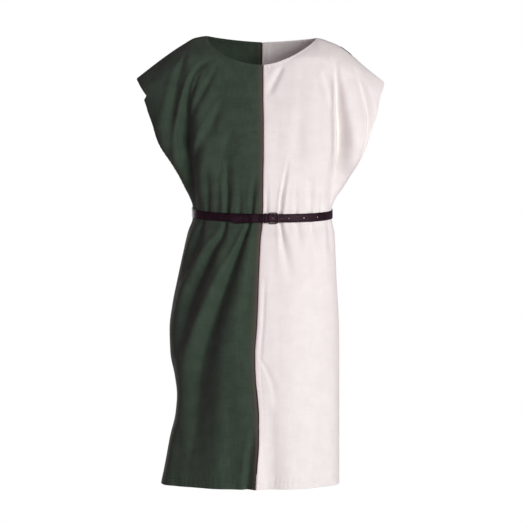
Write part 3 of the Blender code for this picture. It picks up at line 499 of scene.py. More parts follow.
def waves(x, z, seed):
    """Smooth uneven swelling, from random heights on a few coarse lattices."""
    total = np.zeros(x.shape)
    for number, (across, down, high) in enumerate(WAVES):
        u, v = x / across + 40.5, z / down + 40.5
        knots = np.random.default_rng(seed + number).uniform(-1.0, 1.0, (128, 128))
        i, j = np.floor(u).astype(int), np.floor(v).astype(int)
        s, t = smoothstep(0.0, 1.0, u - i), smoothstep(0.0, 1.0, v - j)
        top = knots[i, j] * (1 - s) + knots[i + 1, j] * s
        low = knots[i, j + 1] * (1 - s) + knots[i + 1, j + 1] * s
        total += high * (top * (1 - t) + low * t)
    return total


def folded(points, face):
    """The grid with its folds and slow waves, nothing standing out into the belt."""
    normals = grid_normals(points, face)
    x, z = points[..., 0], points[..., 2]
    inward = waves(x, z, WAVE_SEED[face])
    for row in FOLDS:
        fold = dict(zip(FOLD_COLUMNS, row))
        if fold["face"] == face:
            inward += fold_depth(fold, x, z)
    held = BELT_HEIGHT + belt_rise(x, points[..., 1])
    clear = smoothstep(BELT_BAND, 4 * BELT_BAND, np.abs(z - held))
    inward = np.where(inward < 0, inward * clear, inward)
    facing = smoothstep(*FACING, np.abs(normals[..., 1])) * smoothstep(0.0, TOP_HELD, lengths(points, 0))
    return points - normals * (inward * facing)[..., None]


def sewing(grid, side, face):
    """Relief of the turned edges, stitch lines and seams, and where each edge is turned in."""
    from_seam = lengths(grid, 1)
    from_side = from_seam[:, -1:] - from_seam
    from_top = lengths(grid, 0)
    from_hem = from_top[-1:] - from_top
    z = grid[..., 2]
    neck = (column_shares() < NECK_SHARE - 0.004)[None, :]
    free_side = smoothstep(0.0, 0.02, ARMHOLE[0] - z) * smoothstep(0.0, 0.02, z - ARMHOLE[1])
    slit = smoothstep(0.0, 0.02, SLIT_TOP - z) if face == "front" else np.zeros(z.shape)
    out = np.zeros(z.shape)
    turned = np.zeros(z.shape)
    for edge, stitch, here, along in (
        (from_top, NECK_STITCH, np.broadcast_to(neck, z.shape) * 1.0, from_seam),
        (from_side, ARM_STITCH, free_side, from_top),
        (from_hem, HEM_STITCH, np.ones(z.shape), from_seam),
        (from_seam, SLIT_STITCH, slit, from_top),
    ):
        inside = 1 - smoothstep(stitch, stitch + 0.0015, edge)
        pucker = PUCKER * np.sin(along * 2 * math.pi / PUCKER_PITCH + 1.7 * np.sin(along * 90))
        relief = BAND_SWELL * inside * bell(edge - 0.55 * stitch, 0.5 * stitch)
        relief += pucker * bell(edge - stitch, 0.8 * stitch)
        relief -= GROOVE * bell(edge - stitch, GROOVE_WIDTH)
        out += here * relief
        turned = np.maximum(turned, here * inside)
    thick, wide = ALLOWANCE
    pressed = thick / TURNED * (1 - smoothstep(wide, wide + 0.0010, from_seam))
    turned = np.maximum(turned, pressed)
    seam = SEAM_DIP[side] * (1 - slit) * bell(from_seam, SEAM_WIDTH)
    seam += 0.0010 * (1 - free_side) * bell(from_side, SEAM_WIDTH)
    seam += 0.0010 * np.where(neck, 0.0, 1.0) * bell(from_top, SEAM_WIDTH)
    return out - seam, turned


def panel_points(grid, face, side):
    """One panel's outer and inner points."""
    centre = grid.shape[1] // 2
    if side == "left":
        grid = grid[:, centre::-1]
        normals = -grid_normals(grid, face)
    else:
        grid = grid[:, centre:]
        normals = grid_normals(grid, face)
    relief, turned = sewing(grid, side, face)
    facing = smoothstep(0.0, 0.35, np.abs(normals[..., 1]) + np.abs(normals[..., 2]) * 0.6)
    outer = grid + normals * (relief * facing)[..., None]
    on_seam = np.abs(grid[..., 1]) < 1e-6
    normals[on_seam, 1] = 0.0
    normals /= np.linalg.norm(normals, axis=-1, keepdims=True)
    inner = outer - normals * (CLOTH + TURNED * turned)[..., None]
    gap = np.full(len(outer), SEAM_GAP / 2)
    if face == "front":
        opened = np.clip((SLIT_TOP - outer[:, 0, 2]) / (SLIT_TOP - HEM), 0.0, 1.0)
        gap += SLIT_GAPE * opened
    for points in (outer, inner):
        points[:, 0, 0] += SIDES[side] * gap
        points[..., 1] = FACES[face] * np.maximum(FACES[face] * points[..., 1], SEAM_GAP / 2)
        points[-1, :, 2] = HEM
    return outer, inner


def grid_faces(rows, count):
    """Quads of a grid, as indexes of its points in reading order."""
    first = (np.arange(rows - 1)[:, None] * count + np.arange(count - 1)).ravel()
    return np.stack([first, first + count, first + count + 1, first + 1], axis=-1)


def border_of(rows, count):
    """Indexes round a grid's edge."""
    index = np.arange(rows * count).reshape(rows, count)
    parts = (index[0, :-1], index[:-1, -1], index[-1, :0:-1], index[:0:-1, 0])
    return np.concatenate(parts)


def mesh_object(name, points, faces, places=None):
    """A mesh from arrays, with its place on the flat material kept as UVs in metres."""
    data = bpy.data.meshes.new(name)
    data.from_pydata(points.tolist(), [], faces.tolist())
    if places is not None:
        layer = data.uv_layers.new(name="flat")
        corner = np.empty(len(data.loops), dtype=np.int32)
        data.loops.foreach_get("vertex_index", corner)
        layer.data.foreach_set("uv", places[corner].astype(np.float32).ravel())
    data.shade_smooth()
    made = bpy.data.objects.new(name, data)
    bpy.context.scene.collection.objects.link(made)
    return made


def wall_object(name, outer, inner, places, flip):
    """A closed wall between two grids of the same size."""
    rows, count = outer.shape[:2]
    total = rows * count
    quads = grid_faces(rows, count)
    border = border_of(rows, count)
    after = np.roll(border, -1)
    rim = np.stack([border, after, after + total, border + total], axis=-1)
    faces = np.concatenate([quads, quads[:, ::-1] + total, rim])
    if flip:
        faces = faces[:, ::-1]
    points = np.concatenate([outer.reshape(-1, 3), inner.reshape(-1, 3)])
    places = np.concatenate([places.reshape(-1, 2)] * 2)
    return mesh_object(name, points, faces, places)


def stitches(lines):
    """Short raised stitches along lines of (points, normals), as one array of points and faces."""
    ring = np.radians((0, 60, 120, 180, 240, 300))
    stations = ((-0.5, 0.35), (-0.32, 0.9), (0.0, 1.0), (0.32, 0.9), (0.5, 0.35))
    all_points, all_faces = [], []
    total = 0
    pattern = []
    for i in range(len(stations) - 1):
        for k in range(6):
            m = (k + 1) % 6
            pattern.append((6 * i + k, 6 * i + m, 6 * i + 6 + m, 6 * i + 6 + k))
    pattern = np.array(pattern)
    for points, normals in lines:
        along = lengths(points, 0)
        for place in np.arange(STITCH_PITCH, along[-1] - STITCH_PITCH, STITCH_PITCH):
            at = np.array([np.interp(place, along, points[:, i]) for i in range(3)])
            end = np.array([np.interp(place + STITCH, along, points[:, i]) for i in range(3)])
            up = np.array([np.interp(place, along, normals[:, i]) for i in range(3)])
            ahead = (end - at) / np.linalg.norm(end - at)
            side = np.cross(up, ahead)
            for share, size in stations:
                middle = (at + end) / 2 + ahead * share * STITCH
                radial = np.cos(ring)[:, None] * side + np.sin(ring)[:, None] * up
                all_points.append(middle + radial * STITCH_RADIUS * size)
            all_faces.append(pattern + total)
            total += 6 * len(stations)
    return np.concatenate(all_points), np.concatenate(all_faces)


def line_on(outer, normals, edge, distance, keep):
    """The line on a grid at one distance from an edge, given as distances at each point."""
    rows, count = edge.shape
    points, ups = [], []
    for i in range(rows):
        if keep[i] and edge[i].min() < distance < edge[i].max():
            order = np.argsort(edge[i])
            points.append([np.interp(distance, edge[i][order], outer[i, order, k]) for k in range(3)])
            ups.append([np.interp(distance, edge[i][order], normals[i, order, k]) for k in range(3)])
    return np.array(points), np.array(ups)


def panel_stitches(outer, inner, face, side, shares):
    """Lines of stitches along a panel's turned edges."""
    normals = outer - inner
    normals = normals / np.linalg.norm(normals, axis=-1, keepdims=True)
    from_seam = lengths(outer, 1)
    from_side = from_seam[:, -1:] - from_seam
    from_top = lengths(outer, 0)
    from_hem = from_top[-1:] - from_top
    z = outer[..., 2]
    every_column = np.ones(outer.shape[1], dtype=bool)

    def turned(grid):
        return np.swapaxes(grid, 0, 1)

    lines = [
        line_on(turned(outer), turned(normals), from_top.T, NECK_STITCH, shares < NECK_SHARE - 0.004),
        line_on(turned(outer), turned(normals), from_hem.T, HEM_STITCH, every_column),
        line_on(outer, normals, from_side, ARM_STITCH, (z[:, -1] < ARMHOLE[0]) & (z[:, -1] > ARMHOLE[1])),
    ]
    if face == "front":
        lines.append(line_on(outer, normals, from_seam, SLIT_STITCH, z[:, 0] < SLIT_TOP + 0.01))
    return lines


# Belt, as distances along it from the centre front, outward from the cloth, and up
LEG_COLUMNS = ("along", "offset")
FIXED_LEG = (
    (0.016, 0.0060),
    (0.013, 0.0055),
    (0.010, 0.0048),
    (0.002, 0.0048),
    (-0.010, 0.0033),
    (-0.024, 0.0033),
    (-0.036, 0.0012),
)
FREE_LEG = (
    (0.036, 0.0012),
    (0.031, 0.0017),
    (0.027, 0.0036),
    (0.023, 0.0063),
    (0.020, 0.0076),
    (0.016, 0.0082),
    (0.013, 0.0078),
    (0.010, 0.0070),
    (0.002, 0.0070),
    (-0.010, 0.0055),
    (-0.024, 0.0055),
    (-0.038, 0.0034),
    (-0.080, 0.0034),
)
PRONG_RING = (5.0, 285.0)
PRONG_PATH = (
    (0.0200, 0.0022),
    (0.0240, 0.0036),
    (0.0320, 0.0053),
    (0.0370, 0.0061),
    (0.0396, 0.0061),
)
BELT_SAMPLES = 160
SPREAD = 2.2
STRAP_STEP = 0.0040
LEG_STEP = 0.0011
WRAP_STEPS = 17
HOLE_SIDES = 20
SLANT = (0.31, 0.95, 0.05)

# Half of the strap's section: distance from its edge, and height as a share of half its thickness
STRAP_PROFILE = (
    (0.0000, 0.30),
    (0.0003, 0.78),
    (0.0008, 0.98),
    (0.0016, 1.00),
    (0.0020, 0.72),
    (0.0024, 0.70),
    (0.0028, 0.98),
    (0.0050, 1.06),
    (0.0078, 1.10),
)


def belt_line():
    """The cloth's outline at the belt, as points, outward normals and distance along it."""
    shares = np.sin(np.linspace(0.0, 1.0, BELT_SAMPLES) * math.pi / 2) ** (2 / SPREAD)
    runs = []
    for side, face, order in (
        ("right", "front", shares),
        ("right", "back", shares[::-1]),
        ("left", "back", shares),
        ("left", "front", shares[::-1]),
    ):
        runs.append(base_point(side, face, order, np.full(order.shape, BELT_HEIGHT)))
    points = np.concatenate([runs[0]] + [run[1:] for run in runs[1:]])
    ahead = np.gradient(points, axis=0)
    ahead[0] = ahead[-1] = ahead[0] + ahead[-1]
    normals = np.stack([ahead[:, 1], -ahead[:, 0], np.zeros(len(points))], axis=-1)
    normals /= np.linalg.norm(normals, axis=-1, keepdims=True)
    step = np.linalg.norm(np.diff(points[:, :2], axis=0), axis=-1)
    return points, normals, np.concatenate([[0.0], np.cumsum(step)])


BELT_POINTS, BELT_NORMALS, BELT_ALONG = belt_line()


def on_belt(along, offset, up):
    """Points given along the belt, outward from the cloth, and up from the belt's middle."""
    along, offset, up = np.broadcast_arrays(*(np.asarray(v, dtype=float) for v in (along, offset, up)))
    at = along % BELT_ALONG[-1]
    base = np.stack([np.interp(at, BELT_ALONG, BELT_POINTS[:, i]) for i in range(3)], axis=-1)
    out = np.stack([np.interp(at, BELT_ALONG, BELT_NORMALS[:, i]) for i in range(3)], axis=-1)
    out /= np.linalg.norm(out, axis=-1, keepdims=True)
    base = base + out * offset[..., None]
    base[..., 2] += up
    return base


def leg_offset(leg, along):
    table = columns(LEG_COLUMNS, leg[::-1])
    return smooth_at(table["along"], table["offset"], along)


def leg_places(leg):
    start, stop = leg[0][0], leg[-1][0]
    return np.linspace(start, stop, round((start - stop) / LEG_STEP) + 1)


def tail_drop(along):
    return TAIL_DROP * float(smoothstep(0.0, 1.0, along / TAIL_TIP))


def strap_path():
    """The strap's middle line from its folded end to its tail, as (along, offset, up, half)."""
    half = STRAP_WIDTH / 2
    start, stop = FOLDED_END, HEEL_BAR
    first = np.linspace(start, stop, round((stop - start) / LEG_STEP) + 1)
    path = [(a, CLOTH_TO_STRAP, 0.0, half) for a in first]
    for angle in np.radians(np.linspace(-90, 90, WRAP_STEPS)[1:-1]):
        along = HEEL_BAR + WRAP_RADIUS * math.cos(angle)
        path.append((along, BAR_OFFSET + WRAP_RADIUS * math.sin(angle), 0.0, half))
    for along in leg_places(FIXED_LEG):
        path.append((along, leg_offset(FIXED_LEG, along), 0.0, half))
    start, stop = FIXED_LEG[-1][0], FREE_LEG[0][0] - BELT_ALONG[-1]
    count = round((start - stop) / STRAP_STEP)
    path += [(a, CLOTH_TO_STRAP, 0.0, half) for a in np.linspace(start, stop, count + 1)[1:-1]]
    for along in leg_places(FREE_LEG):
        narrow = math.sqrt(min(1.0, max(0.0, (along - TAIL_TIP) / TAIL_POINT)))
        width = half * (TAIL_END + (1 - TAIL_END) * narrow)
        path.append((along, leg_offset(FREE_LEG, along), -tail_drop(along), width))
    return np.array(path)


def path_across(flat):
    """Unit vectors across a path of (along, offset) points, allowing for the belt's join."""
    turn = BELT_ALONG[-1]
    ahead = np.diff(flat, axis=0)
    ahead[:, 0] = (ahead[:, 0] + turn / 2) % turn - turn / 2
    ahead /= np.linalg.norm(ahead, axis=-1, keepdims=True)
    run = np.concatenate([ahead[:1], ahead[:-1] + ahead[1:], ahead[-1:]])
    run /= np.linalg.norm(run, axis=-1, keepdims=True)
    return np.stack([-run[:, 1], run[:, 0]], axis=-1)


def strap_profile():
    """The strap's closed section, as shares of half its width and of half its thickness."""
    half = STRAP_WIDTH / 2
    rise = [(-(1 - edge / half), high) for edge, high in STRAP_PROFILE]
    outer = rise + [(0.0, 1.12)] + [(-w, high) for w, high in rise[::-1]]
    inner = [(w, -min(high, 1.0)) for w, high in outer[::-1]]
    return np.array(outer + inner)


def ring_faces(rings, sides, closed):
    """Quads between rings of points."""
    faces = []
    for i in range(rings if closed else rings - 1):
        n = (i + 1) % rings
        for k in range(sides):
            m = (k + 1) % sides
            faces.append((i * sides + k, i * sides + m, n * sides + m, n * sides + k))
    return faces


def mesh_from_rings(name, rings, closed, places=None):
    """A tube through rings of points, closed on itself or capped at its ends."""
    count, sides = rings.shape[:2]
    mesh = bmesh.new()
    verts = [mesh.verts.new(p) for p in rings.reshape(-1, 3)]
    for face in ring_faces(count, sides, closed):
        mesh.faces.new([verts[i] for i in face])
    if not closed:
        mesh.faces.new(verts[:sides][::-1])
        mesh.faces.new(verts[-sides:])
    bmesh.ops.recalc_face_normals(mesh, faces=mesh.faces)
    if places is not None:
        layer = mesh.loops.layers.uv.new("flat")
        flat = places.reshape(-1, 2)
        mesh.verts.index_update()
        for face in mesh.faces:
            for loop in face.loops:
                loop[layer].uv = flat[loop.vert.index]
    data = bpy.data.meshes.new(name)
    mesh.to_mesh(data)
    mesh.free()
    data.shade_smooth()
    data.set_sharp_from_angle(angle=math.radians(50))
    made = bpy.data.objects.new(name, data)
    bpy.context.scene.collection.objects.link(made)
    return made


def rod_rings(path, radius, sides, closed=False):
    """Rings of a round bar along points given on the belt, its radius alike or one a point."""
    points = on_belt(*np.array(path).T)
    if closed:
        ahead = np.roll(points, -1, axis=0) - np.roll(points, 1, axis=0)
    else:
        ahead = np.gradient(points, axis=0)
    ahead /= np.linalg.norm(ahead, axis=-1, keepdims=True)
    side = np.cross(ahead[0], SLANT)
    angles = 2 * math.pi * np.arange(sides) / sides
    rings = []
    for point, forward, size in zip(points, ahead, np.broadcast_to(radius, len(points))):
        side = side - forward * side.dot(forward)
        side /= np.linalg.norm(side)
        other = np.cross(forward, side)
        rings.append(point + size * (np.cos(angles)[:, None] * side + np.sin(angles)[:, None] * other))
    return np.array(rings)


def strap_object():
    """The leather strap, edge-creased and slightly crowned, with its slot and holes cut."""
    path = strap_path()
    across = path_across(path[:, :2]) * STRAP / 2
    profile = strap_profile()
    width, high = profile[:, 0], profile[:, 1]
    along = path[:, :1] + across[:, :1] * high
    offset = path[:, 1:2] + across[:, 1:] * high
    up = path[:, 2:3] + path[:, 3:] * width
    rings = on_belt(along, offset, up)
    run = lengths(rings.mean(axis=1), 0)
    places = np.stack([np.broadcast_to(run[:, None], up.shape), path[:, 3:] * width], axis=-1)
    strap = mesh_from_rings("strap", rings, False, places)
    reach = WRAP_RADIUS + STRAP / 2 + SLOT_CLEARANCE
    slot = [(HEEL_BAR, BAR_OFFSET, -PRONG_SLOT), (HEEL_BAR, BAR_OFFSET, PRONG_SLOT)]
    cutters = [rod_rings(slot, reach, HOLE_SIDES)]
    for number in range(HOLES):
        place = FIRST_HOLE + number * HOLE_PITCH
        if number != PRONG_HOLE:
            middle = float(leg_offset(FREE_LEG, place)) if place < FREE_LEG[0][0] else CLOTH_TO_STRAP
            deep = STRAP / 2 + LEATHER_GAP / 2
            ends = [(place, middle + sign * deep * 1.2, -tail_drop(place)) for sign in (-1, 1)]
            cutters.append(rod_rings(ends, HOLE_RADIUS, HOLE_SIDES))
    for number, rings in enumerate(cutters):
        cut(strap, mesh_from_rings(f"cutter_{number}", rings, False))
    first, last, half = PRONG_EYE
    ring = [(first, -half), (last, -half), (last, half), (first, half)]
    rings = np.array([[on_belt(a, offset, up) for a, up in ring] for offset in EYE_OFFSETS])
    cut(strap, mesh_from_rings("eye_cutter", rings, False))
    return strap


def cut(target, cutter):
    """Takes the cutter's shape out of the target, and the cutter away."""
    modifier = target.modifiers.new("cut", "BOOLEAN")
    modifier.operation = "DIFFERENCE"
    modifier.solver = "EXACT"
    modifier.object = cutter
    graph = bpy.context.evaluated_depsgraph_get()
    made = bpy.data.meshes.new_from_object(target.evaluated_get(graph))
    target.modifiers.clear()
    old = target.data
    target.data = made
    bpy.data.meshes.remove(old)
    bpy.data.objects.remove(cutter)


def frame_object():
    """The buckle's frame: a straight heel bar, and rounder corners at the end bar."""
    path = []
    corners = (
        (END_BAR, -1, "end", -90),
        (END_BAR, 1, "end", 0),
        (HEEL_BAR, 1, "heel", 90),
        (HEEL_BAR, -1, "heel", 180),
    )
    for along, rise, kind, start in corners:
        radius = FRAME_CORNERS[kind]
        inward = -1 if kind == "end" else 1
        for angle in np.radians(np.linspace(start, start + 90, 14)):
            a = along + inward * radius + radius * math.cos(angle)
            up = rise * (FRAME_HALF_HEIGHT - radius) + radius * math.sin(angle)
            path.append((a, BAR_OFFSET, up))
    return mesh_from_rings("buckle_bar", rod_rings(path, BAR_RADIUS, 16, closed=True), True)


def prong_object():
    """The prong: round the heel bar, out through the eye, its tapered tip on the end bar."""
    path = []
    for angle in np.radians(np.linspace(*PRONG_RING, 25)):
        along = HEEL_BAR + WRAP_RADIUS * math.cos(angle)
        path.append((along, BAR_OFFSET + WRAP_RADIUS * math.sin(angle), 0.0))
    table = np.array([path[-1][:2]] + [list(p) for p in PRONG_PATH])
    along = np.linspace(table[0, 0], table[-1, 0], 20)[1:]
    path += [(a, float(smooth_at(table[:, 0], table[:, 1], a)), 0.0) for a in along]
    radius = np.full(len(path), PRONG_RADIUS)
    radius[-5:] *= (0.97, 0.92, 0.84, 0.72, 0.45)
    return mesh_from_rings("tongue", rod_rings(path, radius, 14), False)


def keeper_object():
    """The loop that holds the tail: a rounded leather band round both layers of the strap."""
    low, high, thick = KEEPER["low"], KEEPER["high"], KEEPER["thick"]
    half = STRAP_WIDTH / 2 + LEATHER_GAP
    middle, wide = (KEEPER["from"] + KEEPER["to"]) / 2, (KEEPER["to"] - KEEPER["from"]) / 2
    section_points = ((-1, 0.15), (-0.9, 0.8), (-0.6, 1.0), (0, 1.05), (0.6, 1.0), (0.9, 0.8), (1, 0.15),
                      (0.95, 0.0), (0, 0.0), (-0.95, 0.0))
    rings = []
    for offset, up, start in ((high, half, 0), (low, half, 90), (low, -half, 180), (high, -half, 270)):
        for angle in np.radians(np.linspace(start, start + 90, 7)):
            ring = []
            for across, out in section_points:
                reach = thick * out
                ring.append((middle + wide * across, offset + reach * math.cos(angle),
                             up + reach * math.sin(angle)))
            rings.append(on_belt(*np.array(ring).T))
    return mesh_from_rings("keeper_loop", np.array(rings), True)


class Nodes:
    """A material's node tree, with short calls for making and joining nodes."""

    def __init__(self, name):
        self.material = bpy.data.materials.new(name)
        self.material.use_nodes = True
        self.tree = self.material.node_tree
        self.shader = self.tree.nodes["Principled BSDF"]

    def add(self, kind, values=(), **settings):
        node = self.tree.nodes.new("ShaderNode" + kind)
        for key, value in settings.items():
            setattr(node, key, value)
        for key, value in dict(values).items():
            self.put(node.inputs[key], value)
        return node

    def put(self, socket, value):
        if isinstance(value, bpy.types.NodeSocket):
            self.tree.links.new(value, socket)
        else:
            socket.default_value = value

    def math(self, operation, a, b=0.0, c=0.0):
        return self.add("Math", {0: a, 1: b, 2: c}, operation=operation).outputs[0]

    def noise(self, where, scale, detail=3.0, roughness=0.5):
        values = {"Vector": where, "Scale": scale, "Detail": detail, "Roughness": roughness}
        return self.add("TexNoise", values).outputs["Fac"]

    def stretched(self, where, scale):
        node = self.add("Mapping", {"Vector": where, "Scale": scale}, vector_type="POINT")
        return node.outputs["Vector"]

    def between(self, value, low, high, to_low, to_high):
        values = {"Value": value, "From Min": low, "From Max": high, "To Min": to_low, "To Max": to_high}
        return self.add("MapRange", values, interpolation_type="SMOOTHSTEP").outputs["Result"]

    def mix(self, factor, first, second):
        node = self.add("Mix", {"Factor": factor}, data_type="RGBA")
        self.put(node.inputs[6], first)
        self.put(node.inputs[7], second)
        return node.outputs[2]

    def bump(self, height, distance, strength=1.0, under=None):
        node = self.add("Bump", {"Height": height, "Distance": distance, "Strength": strength})
        if under is not None:
            self.tree.links.new(under, node.inputs["Normal"])
        return node.outputs["Normal"]

    def finish(self, **values):
        for key, value in values.items():
            self.put(self.shader.inputs[key.replace("_", " ")], value)
        return self.material


THREAD = 0.0011  # two threads of the weave


def cloth_material(name, light, dark, pressed_band_painted_light, painted_seam_shadow, sheen, tint):
    """Plain-woven cotton: crossed threads, slubs, soft mottling, a band beside the seam that is partly the
    pressed allowance and partly painted light and shade, and a painted shadow line along the seam itself.
    """
    n = Nodes(name)
    flat = n.add("UVMap", uv_map="flat").outputs["UV"]
    split = n.add("SeparateXYZ", {0: flat})
    u, v = split.outputs["X"], split.outputs["Y"]
    turn = 2 * math.pi / THREAD
    weave = n.math("MULTIPLY", n.math("SINE", n.math("MULTIPLY", u, turn)),
                   n.math("SINE", n.math("MULTIPLY", v, turn)))
    warp = n.noise(n.stretched(flat, (900.0, 22.0, 1.0)), 1.0, 2.0)
    weft = n.noise(n.stretched(flat, (22.0, 900.0, 1.0)), 1.0, 2.0)
    slub = n.math("ADD", warp, weft)
    mottle = n.noise(flat, 26.0, 5.0, 0.6)
    fine = n.noise(flat, 320.0, 3.0, 0.6)
    shade = n.math("ADD", n.math("MULTIPLY", n.between(mottle, 0.32, 0.68, 0.0, 1.0), 0.5),
                   n.math("MULTIPLY", n.between(slub, 0.75, 1.25, 0.0, 1.0), 0.5))
    shade = n.math("ADD", n.math("MULTIPLY", shade, 0.8), n.math("MULTIPLY", fine, 0.2))
    colour = n.mix(shade, dark, light)
    # A band beside the seam: partly the pressed allowance, partly painted light, lighter and browner on the
    # green half and pinkish painted shade on the natural half.
    seam_band_reach = n.math("ADD", u, n.math("MULTIPLY", mottle, 0.010))
    colour = n.mix(n.between(seam_band_reach, 0.007, 0.024, 0.85, 0.0), colour, pressed_band_painted_light)
    # Painted shadow: a dark line along the seam's groove, pinkish on the natural half.
    colour = n.mix(n.between(u, 0.0009, 0.0030, 0.85, 0.0), colour, painted_seam_shadow)
    rough = n.between(n.math("ADD", fine, mottle), 0.6, 1.4, 0.80, 0.94)
    normal = n.bump(slub, 0.00035)
    normal = n.bump(weave, 0.00010, under=normal)
    n.put(n.shader.inputs["Normal"], normal)
    return n.finish(
        Base_Color=colour, Roughness=rough, Sheen_Weight=sheen, Sheen_Roughness=0.5,
        Sheen_Tint=tint, Specular_IOR_Level=0.22,
    )


def thread_material(name, colour):
    n = Nodes(name)
    where = n.add("TexCoord").outputs["Object"]
    twist = n.noise(where, 2600.0, 1.0)
    shade = tuple(0.7 * c for c in colour[:3]) + (1.0,)
    n.put(n.shader.inputs["Normal"], n.bump(twist, 0.0001))
    return n.finish(Base_Color=n.mix(twist, shade, colour), Roughness=0.7, Sheen_Weight=0.2)


def leather_material(name, light, dark, edge):
    """Smooth strap leather: fine grain, cloudy dye, darker creased edges, and small lighter scuffs that also
    stand in for a painted sheen.
    """
    n = Nodes(name)
    where = n.add("TexCoord").outputs["Object"]
    flat = n.add("UVMap", uv_map="flat").outputs["UV"]
    across = n.math("ABSOLUTE", n.add("SeparateXYZ", {0: flat}).outputs["Y"])
    cells = n.add("TexVoronoi", {"Vector": where, "Scale": 1100.0}, feature="DISTANCE_TO_EDGE")
    grain = n.between(cells.outputs["Distance"], 0.0, 0.25, 0.0, 1.0)
    cloud = n.noise(where, 55.0, 5.0, 0.6)
    scuff_and_sheen = n.noise(n.stretched(flat, (60.0, 600.0, 1.0)), 1.0, 4.0, 0.7)
    colour = n.mix(n.between(cloud, 0.35, 0.68, 0.0, 1.0), dark, light)
    colour = n.mix(n.between(across, 0.0072, 0.0098, 0.0, 0.8), colour, edge)
    # Lighter scuffed streaks: partly wear, partly a painted highlight standing in for the leather's sheen.
    colour = n.mix(n.between(scuff_and_sheen, 0.60, 0.78, 0.0, 0.35), colour, tuple(2.2 * c for c in light[:3]) + (1.0,))
    rough = n.between(n.math("ADD", cloud, scuff_and_sheen), 0.7, 1.3, 0.40, 0.62)
    normal = n.bump(n.noise(where, 160.0, 3.0), 0.0002)
    normal = n.bump(grain, 0.00006, under=normal)
    n.put(n.shader.inputs["Normal"], normal)
    return n.finish(Base_Color=colour, Roughness=rough, Specular_IOR_Level=0.20,
                    Specular_Tint=(1.0, 0.70, 0.82, 1.0))


def metal_material(name, light, dark):
    """Darkened steel wire, worn brighter in patches, with fine drawn scratches."""
    n = Nodes(name)
    where = n.add("TexCoord").outputs["Object"]
    wear = n.noise(where, 420.0, 4.0, 0.6)
    scratch = n.noise(n.stretched(where, (2400.0, 300.0, 500.0)), 1.0, 2.0)
    colour = n.mix(n.between(wear, 0.42, 0.66, 0.0, 1.0), dark, light)
    rough = n.between(wear, 0.3, 0.7, 0.46, 0.24)
    n.put(n.shader.inputs["Normal"], n.bump(scratch, 0.00003))
    return n.finish(Base_Color=colour, Roughness=rough, Metallic=1.0)


def floor_material(name):
    n = Nodes(name)
    where = n.add("TexCoord").outputs["Object"]
    tone = n.mix(n.noise(where, 3.0, 4.0), (0.80, 0.80, 0.80, 1.0), (0.84, 0.84, 0.84, 1.0))
    return n.finish(Base_Color=tone, Roughness=0.9)


# Stage: camera where the photograph's was, level and far off
CAMERA = (-0.0025, -4.5, -0.559)
VIEW_HALF_WIDTH = 0.6525  # at the object
FLOOR_HEIGHT = -1.45
FLOOR_RADIUS = 1.5
WORLD_LIGHT = (1.0, 0.70, 0.88, 1.0)
WORLD_STRENGTH = {"above": 0.16, "level": 0.38}

# Soft square lamps: name, place, aim, side, watts
LAMP_LIGHT = (0.94, 1.0, 0.95)
LAMPS = (
    ("key", (2.4, -3.5, -0.05), (0.0, 0.0, -0.5), 2.0, 146.0),
    ("rear", (-1.6, 3.6, 0.1), (0.0, 0.0, -0.5), 2.0, 70.0),
)


def camera_object():
    data = bpy.data.cameras.new("camera")
    data.sensor_width = 36.0
    data.lens = 18.0 / (VIEW_HALF_WIDTH / -CAMERA[1])
    made = bpy.data.objects.new("camera", data)
    made.location = CAMERA
    made.rotation_euler = (math.pi / 2, 0.0, 0.0)
    bpy.context.scene.collection.objects.link(made)
    bpy.context.scene.camera = made


def lamp_objects():
    for name, place, aim, size, watts in LAMPS:
        data = bpy.data.lights.new(name, "AREA")
        data.shape = "SQUARE"
        data.size = size
        data.energy = watts
        data.color = LAMP_LIGHT
        made = bpy.data.objects.new(name, data)
        made.location = place
        made.visible_camera = False
        away = np.array(place) - np.array(aim)
        flat = math.hypot(away[0], away[1])
        made.rotation_euler = (math.atan2(flat, away[2]), 0.0, math.atan2(away[0], -away[1]))
        bpy.context.scene.collection.objects.link(made)


def world():
    """White behind the object, and a dimmer even light on it."""
    made = bpy.data.worlds.new("studio")
    made.use_nodes = True
    tree = made.node_tree
    tree.nodes.clear()
    seen = tree.nodes.new("ShaderNodeBackground")
    seen.inputs["Color"].default_value = (1.0, 1.0, 1.0, 1.0)
    lit = tree.nodes.new("ShaderNodeBackground")
    lit.inputs["Color"].default_value = WORLD_LIGHT
    direction = tree.nodes.new("ShaderNodeTexCoord")
    split = tree.nodes.new("ShaderNodeSeparateXYZ")
    strength = tree.nodes.new("ShaderNodeMapRange")
    strength.inputs["From Min"].default_value = 0.1
    strength.inputs["From Max"].default_value = 0.8
    strength.inputs["To Min"].default_value = WORLD_STRENGTH["level"]
    strength.inputs["To Max"].default_value = WORLD_STRENGTH["above"]
    tree.links.new(direction.outputs["Generated"], split.inputs[0])
    tree.links.new(split.outputs["Z"], strength.inputs["Value"])
    tree.links.new(strength.outputs["Result"], lit.inputs["Strength"])
    rays = tree.nodes.new("ShaderNodeLightPath")
    mix = tree.nodes.new("ShaderNodeMixShader")
    out = tree.nodes.new("ShaderNodeOutputWorld")
    tree.links.new(rays.outputs["Is Camera Ray"], mix.inputs[0])
    tree.links.new(lit.outputs[0], mix.inputs[1])
    tree.links.new(seen.outputs[0], mix.inputs[2])
    tree.links.new(mix.outputs[0], out.inputs["Surface"])
    bpy.context.scene.world = made


def floor_object():
    mesh = bmesh.new()
    bmesh.ops.create_circle(mesh, cap_ends=True, segments=128, radius=FLOOR_RADIUS)
    data = bpy.data.meshes.new("floor")
    mesh.to_mesh(data)
    mesh.free()
    made = bpy.data.objects.new("floor", data)
    made.location = (0.0, 0.0, FLOOR_HEIGHT)
    bpy.context.scene.collection.objects.link(made)
    data.materials.append(floor_material("pale_floor"))


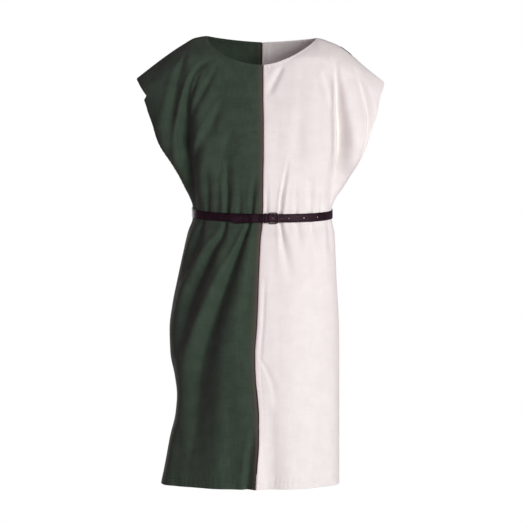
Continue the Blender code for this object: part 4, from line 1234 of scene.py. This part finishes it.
def cloth_pieces():
    """The four panels, each with its stitches."""
    cloths = {
        # After each cloth's two tones come its seam band (partly painted light and shade), its painted seam
        # shadow, its sheen weight and its sheen tint.
        "left": cloth_material(
            "green_cotton", (0.056, 0.084, 0.058, 1.0), (0.028, 0.046, 0.031, 1.0),
            (0.084, 0.074, 0.058, 1.0), (0.022, 0.011, 0.013, 1.0), 0.06, (0.9, 0.7, 0.7, 1.0),
        ),
        "right": cloth_material(
            "natural_cotton", (0.93, 0.895, 0.87, 1.0), (0.85, 0.805, 0.79, 1.0),
            (0.90, 0.83, 0.82, 1.0), (0.66, 0.46, 0.54, 1.0), 0.06, (1.0, 0.90, 0.93, 1.0),
        ),
    }
    threads = {
        "left": thread_material("green_thread", (0.050, 0.075, 0.052, 1.0)),
        "right": thread_material("natural_thread", (0.86, 0.81, 0.79, 1.0)),
    }
    shares = column_shares()
    for face in FACES:
        halves = {side: side_points(side, face, shares) for side in SIDES}
        grid = np.concatenate([halves["left"][:, :0:-1], halves["right"]], axis=1)
        grid = folded(grid, face)
        for side in SIDES:
            node = PANELS[face, side]
            outer, inner = panel_points(grid, face, side)
            flat = flat_places(side, face, shares, halves[side])
            flip = (side == "left") == (face == "front")
            panel = wall_object("cloth_" + node, outer, inner, flat, flip)
            panel.data.materials.append(cloths[side])
            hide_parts(node)
            lines = panel_stitches(outer, inner, face, side, shares)
            points, faces = stitches([line for line in lines if len(line[0]) > 2])
            sewn = mesh_object("stitches_" + node, points, faces)
            sewn.data.materials.append(threads[side])
            for piece in (panel, sewn):
                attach(piece, "root")


def belt_pieces():
    leather = leather_material(
        "dark_leather", (0.021, 0.007, 0.014, 1.0), (0.008, 0.002, 0.005, 1.0), (0.004, 0.0015, 0.003, 1.0),
    )
    metal = metal_material("dark_steel", (0.11, 0.080, 0.092, 1.0), (0.030, 0.021, 0.026, 1.0))
    for made, node, finish, slot in (
        (strap_object(), "belt_strap", leather, "belt_leather"),
        (keeper_object(), "belt_keeper", leather, "belt_leather"),
        (frame_object(), "buckle_frame", metal, "buckle_metal"),
        (prong_object(), "buckle_prong", metal, "buckle_metal"),
    ):
        made.data.materials.clear()
        made.data.materials.append(finish)
        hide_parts(node)
        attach(made, "root")


camera_object()
lamp_objects()
world()
floor_object()
cloth_pieces()
belt_pieces()
bpy.context.scene.view_settings.view_transform = "Standard"
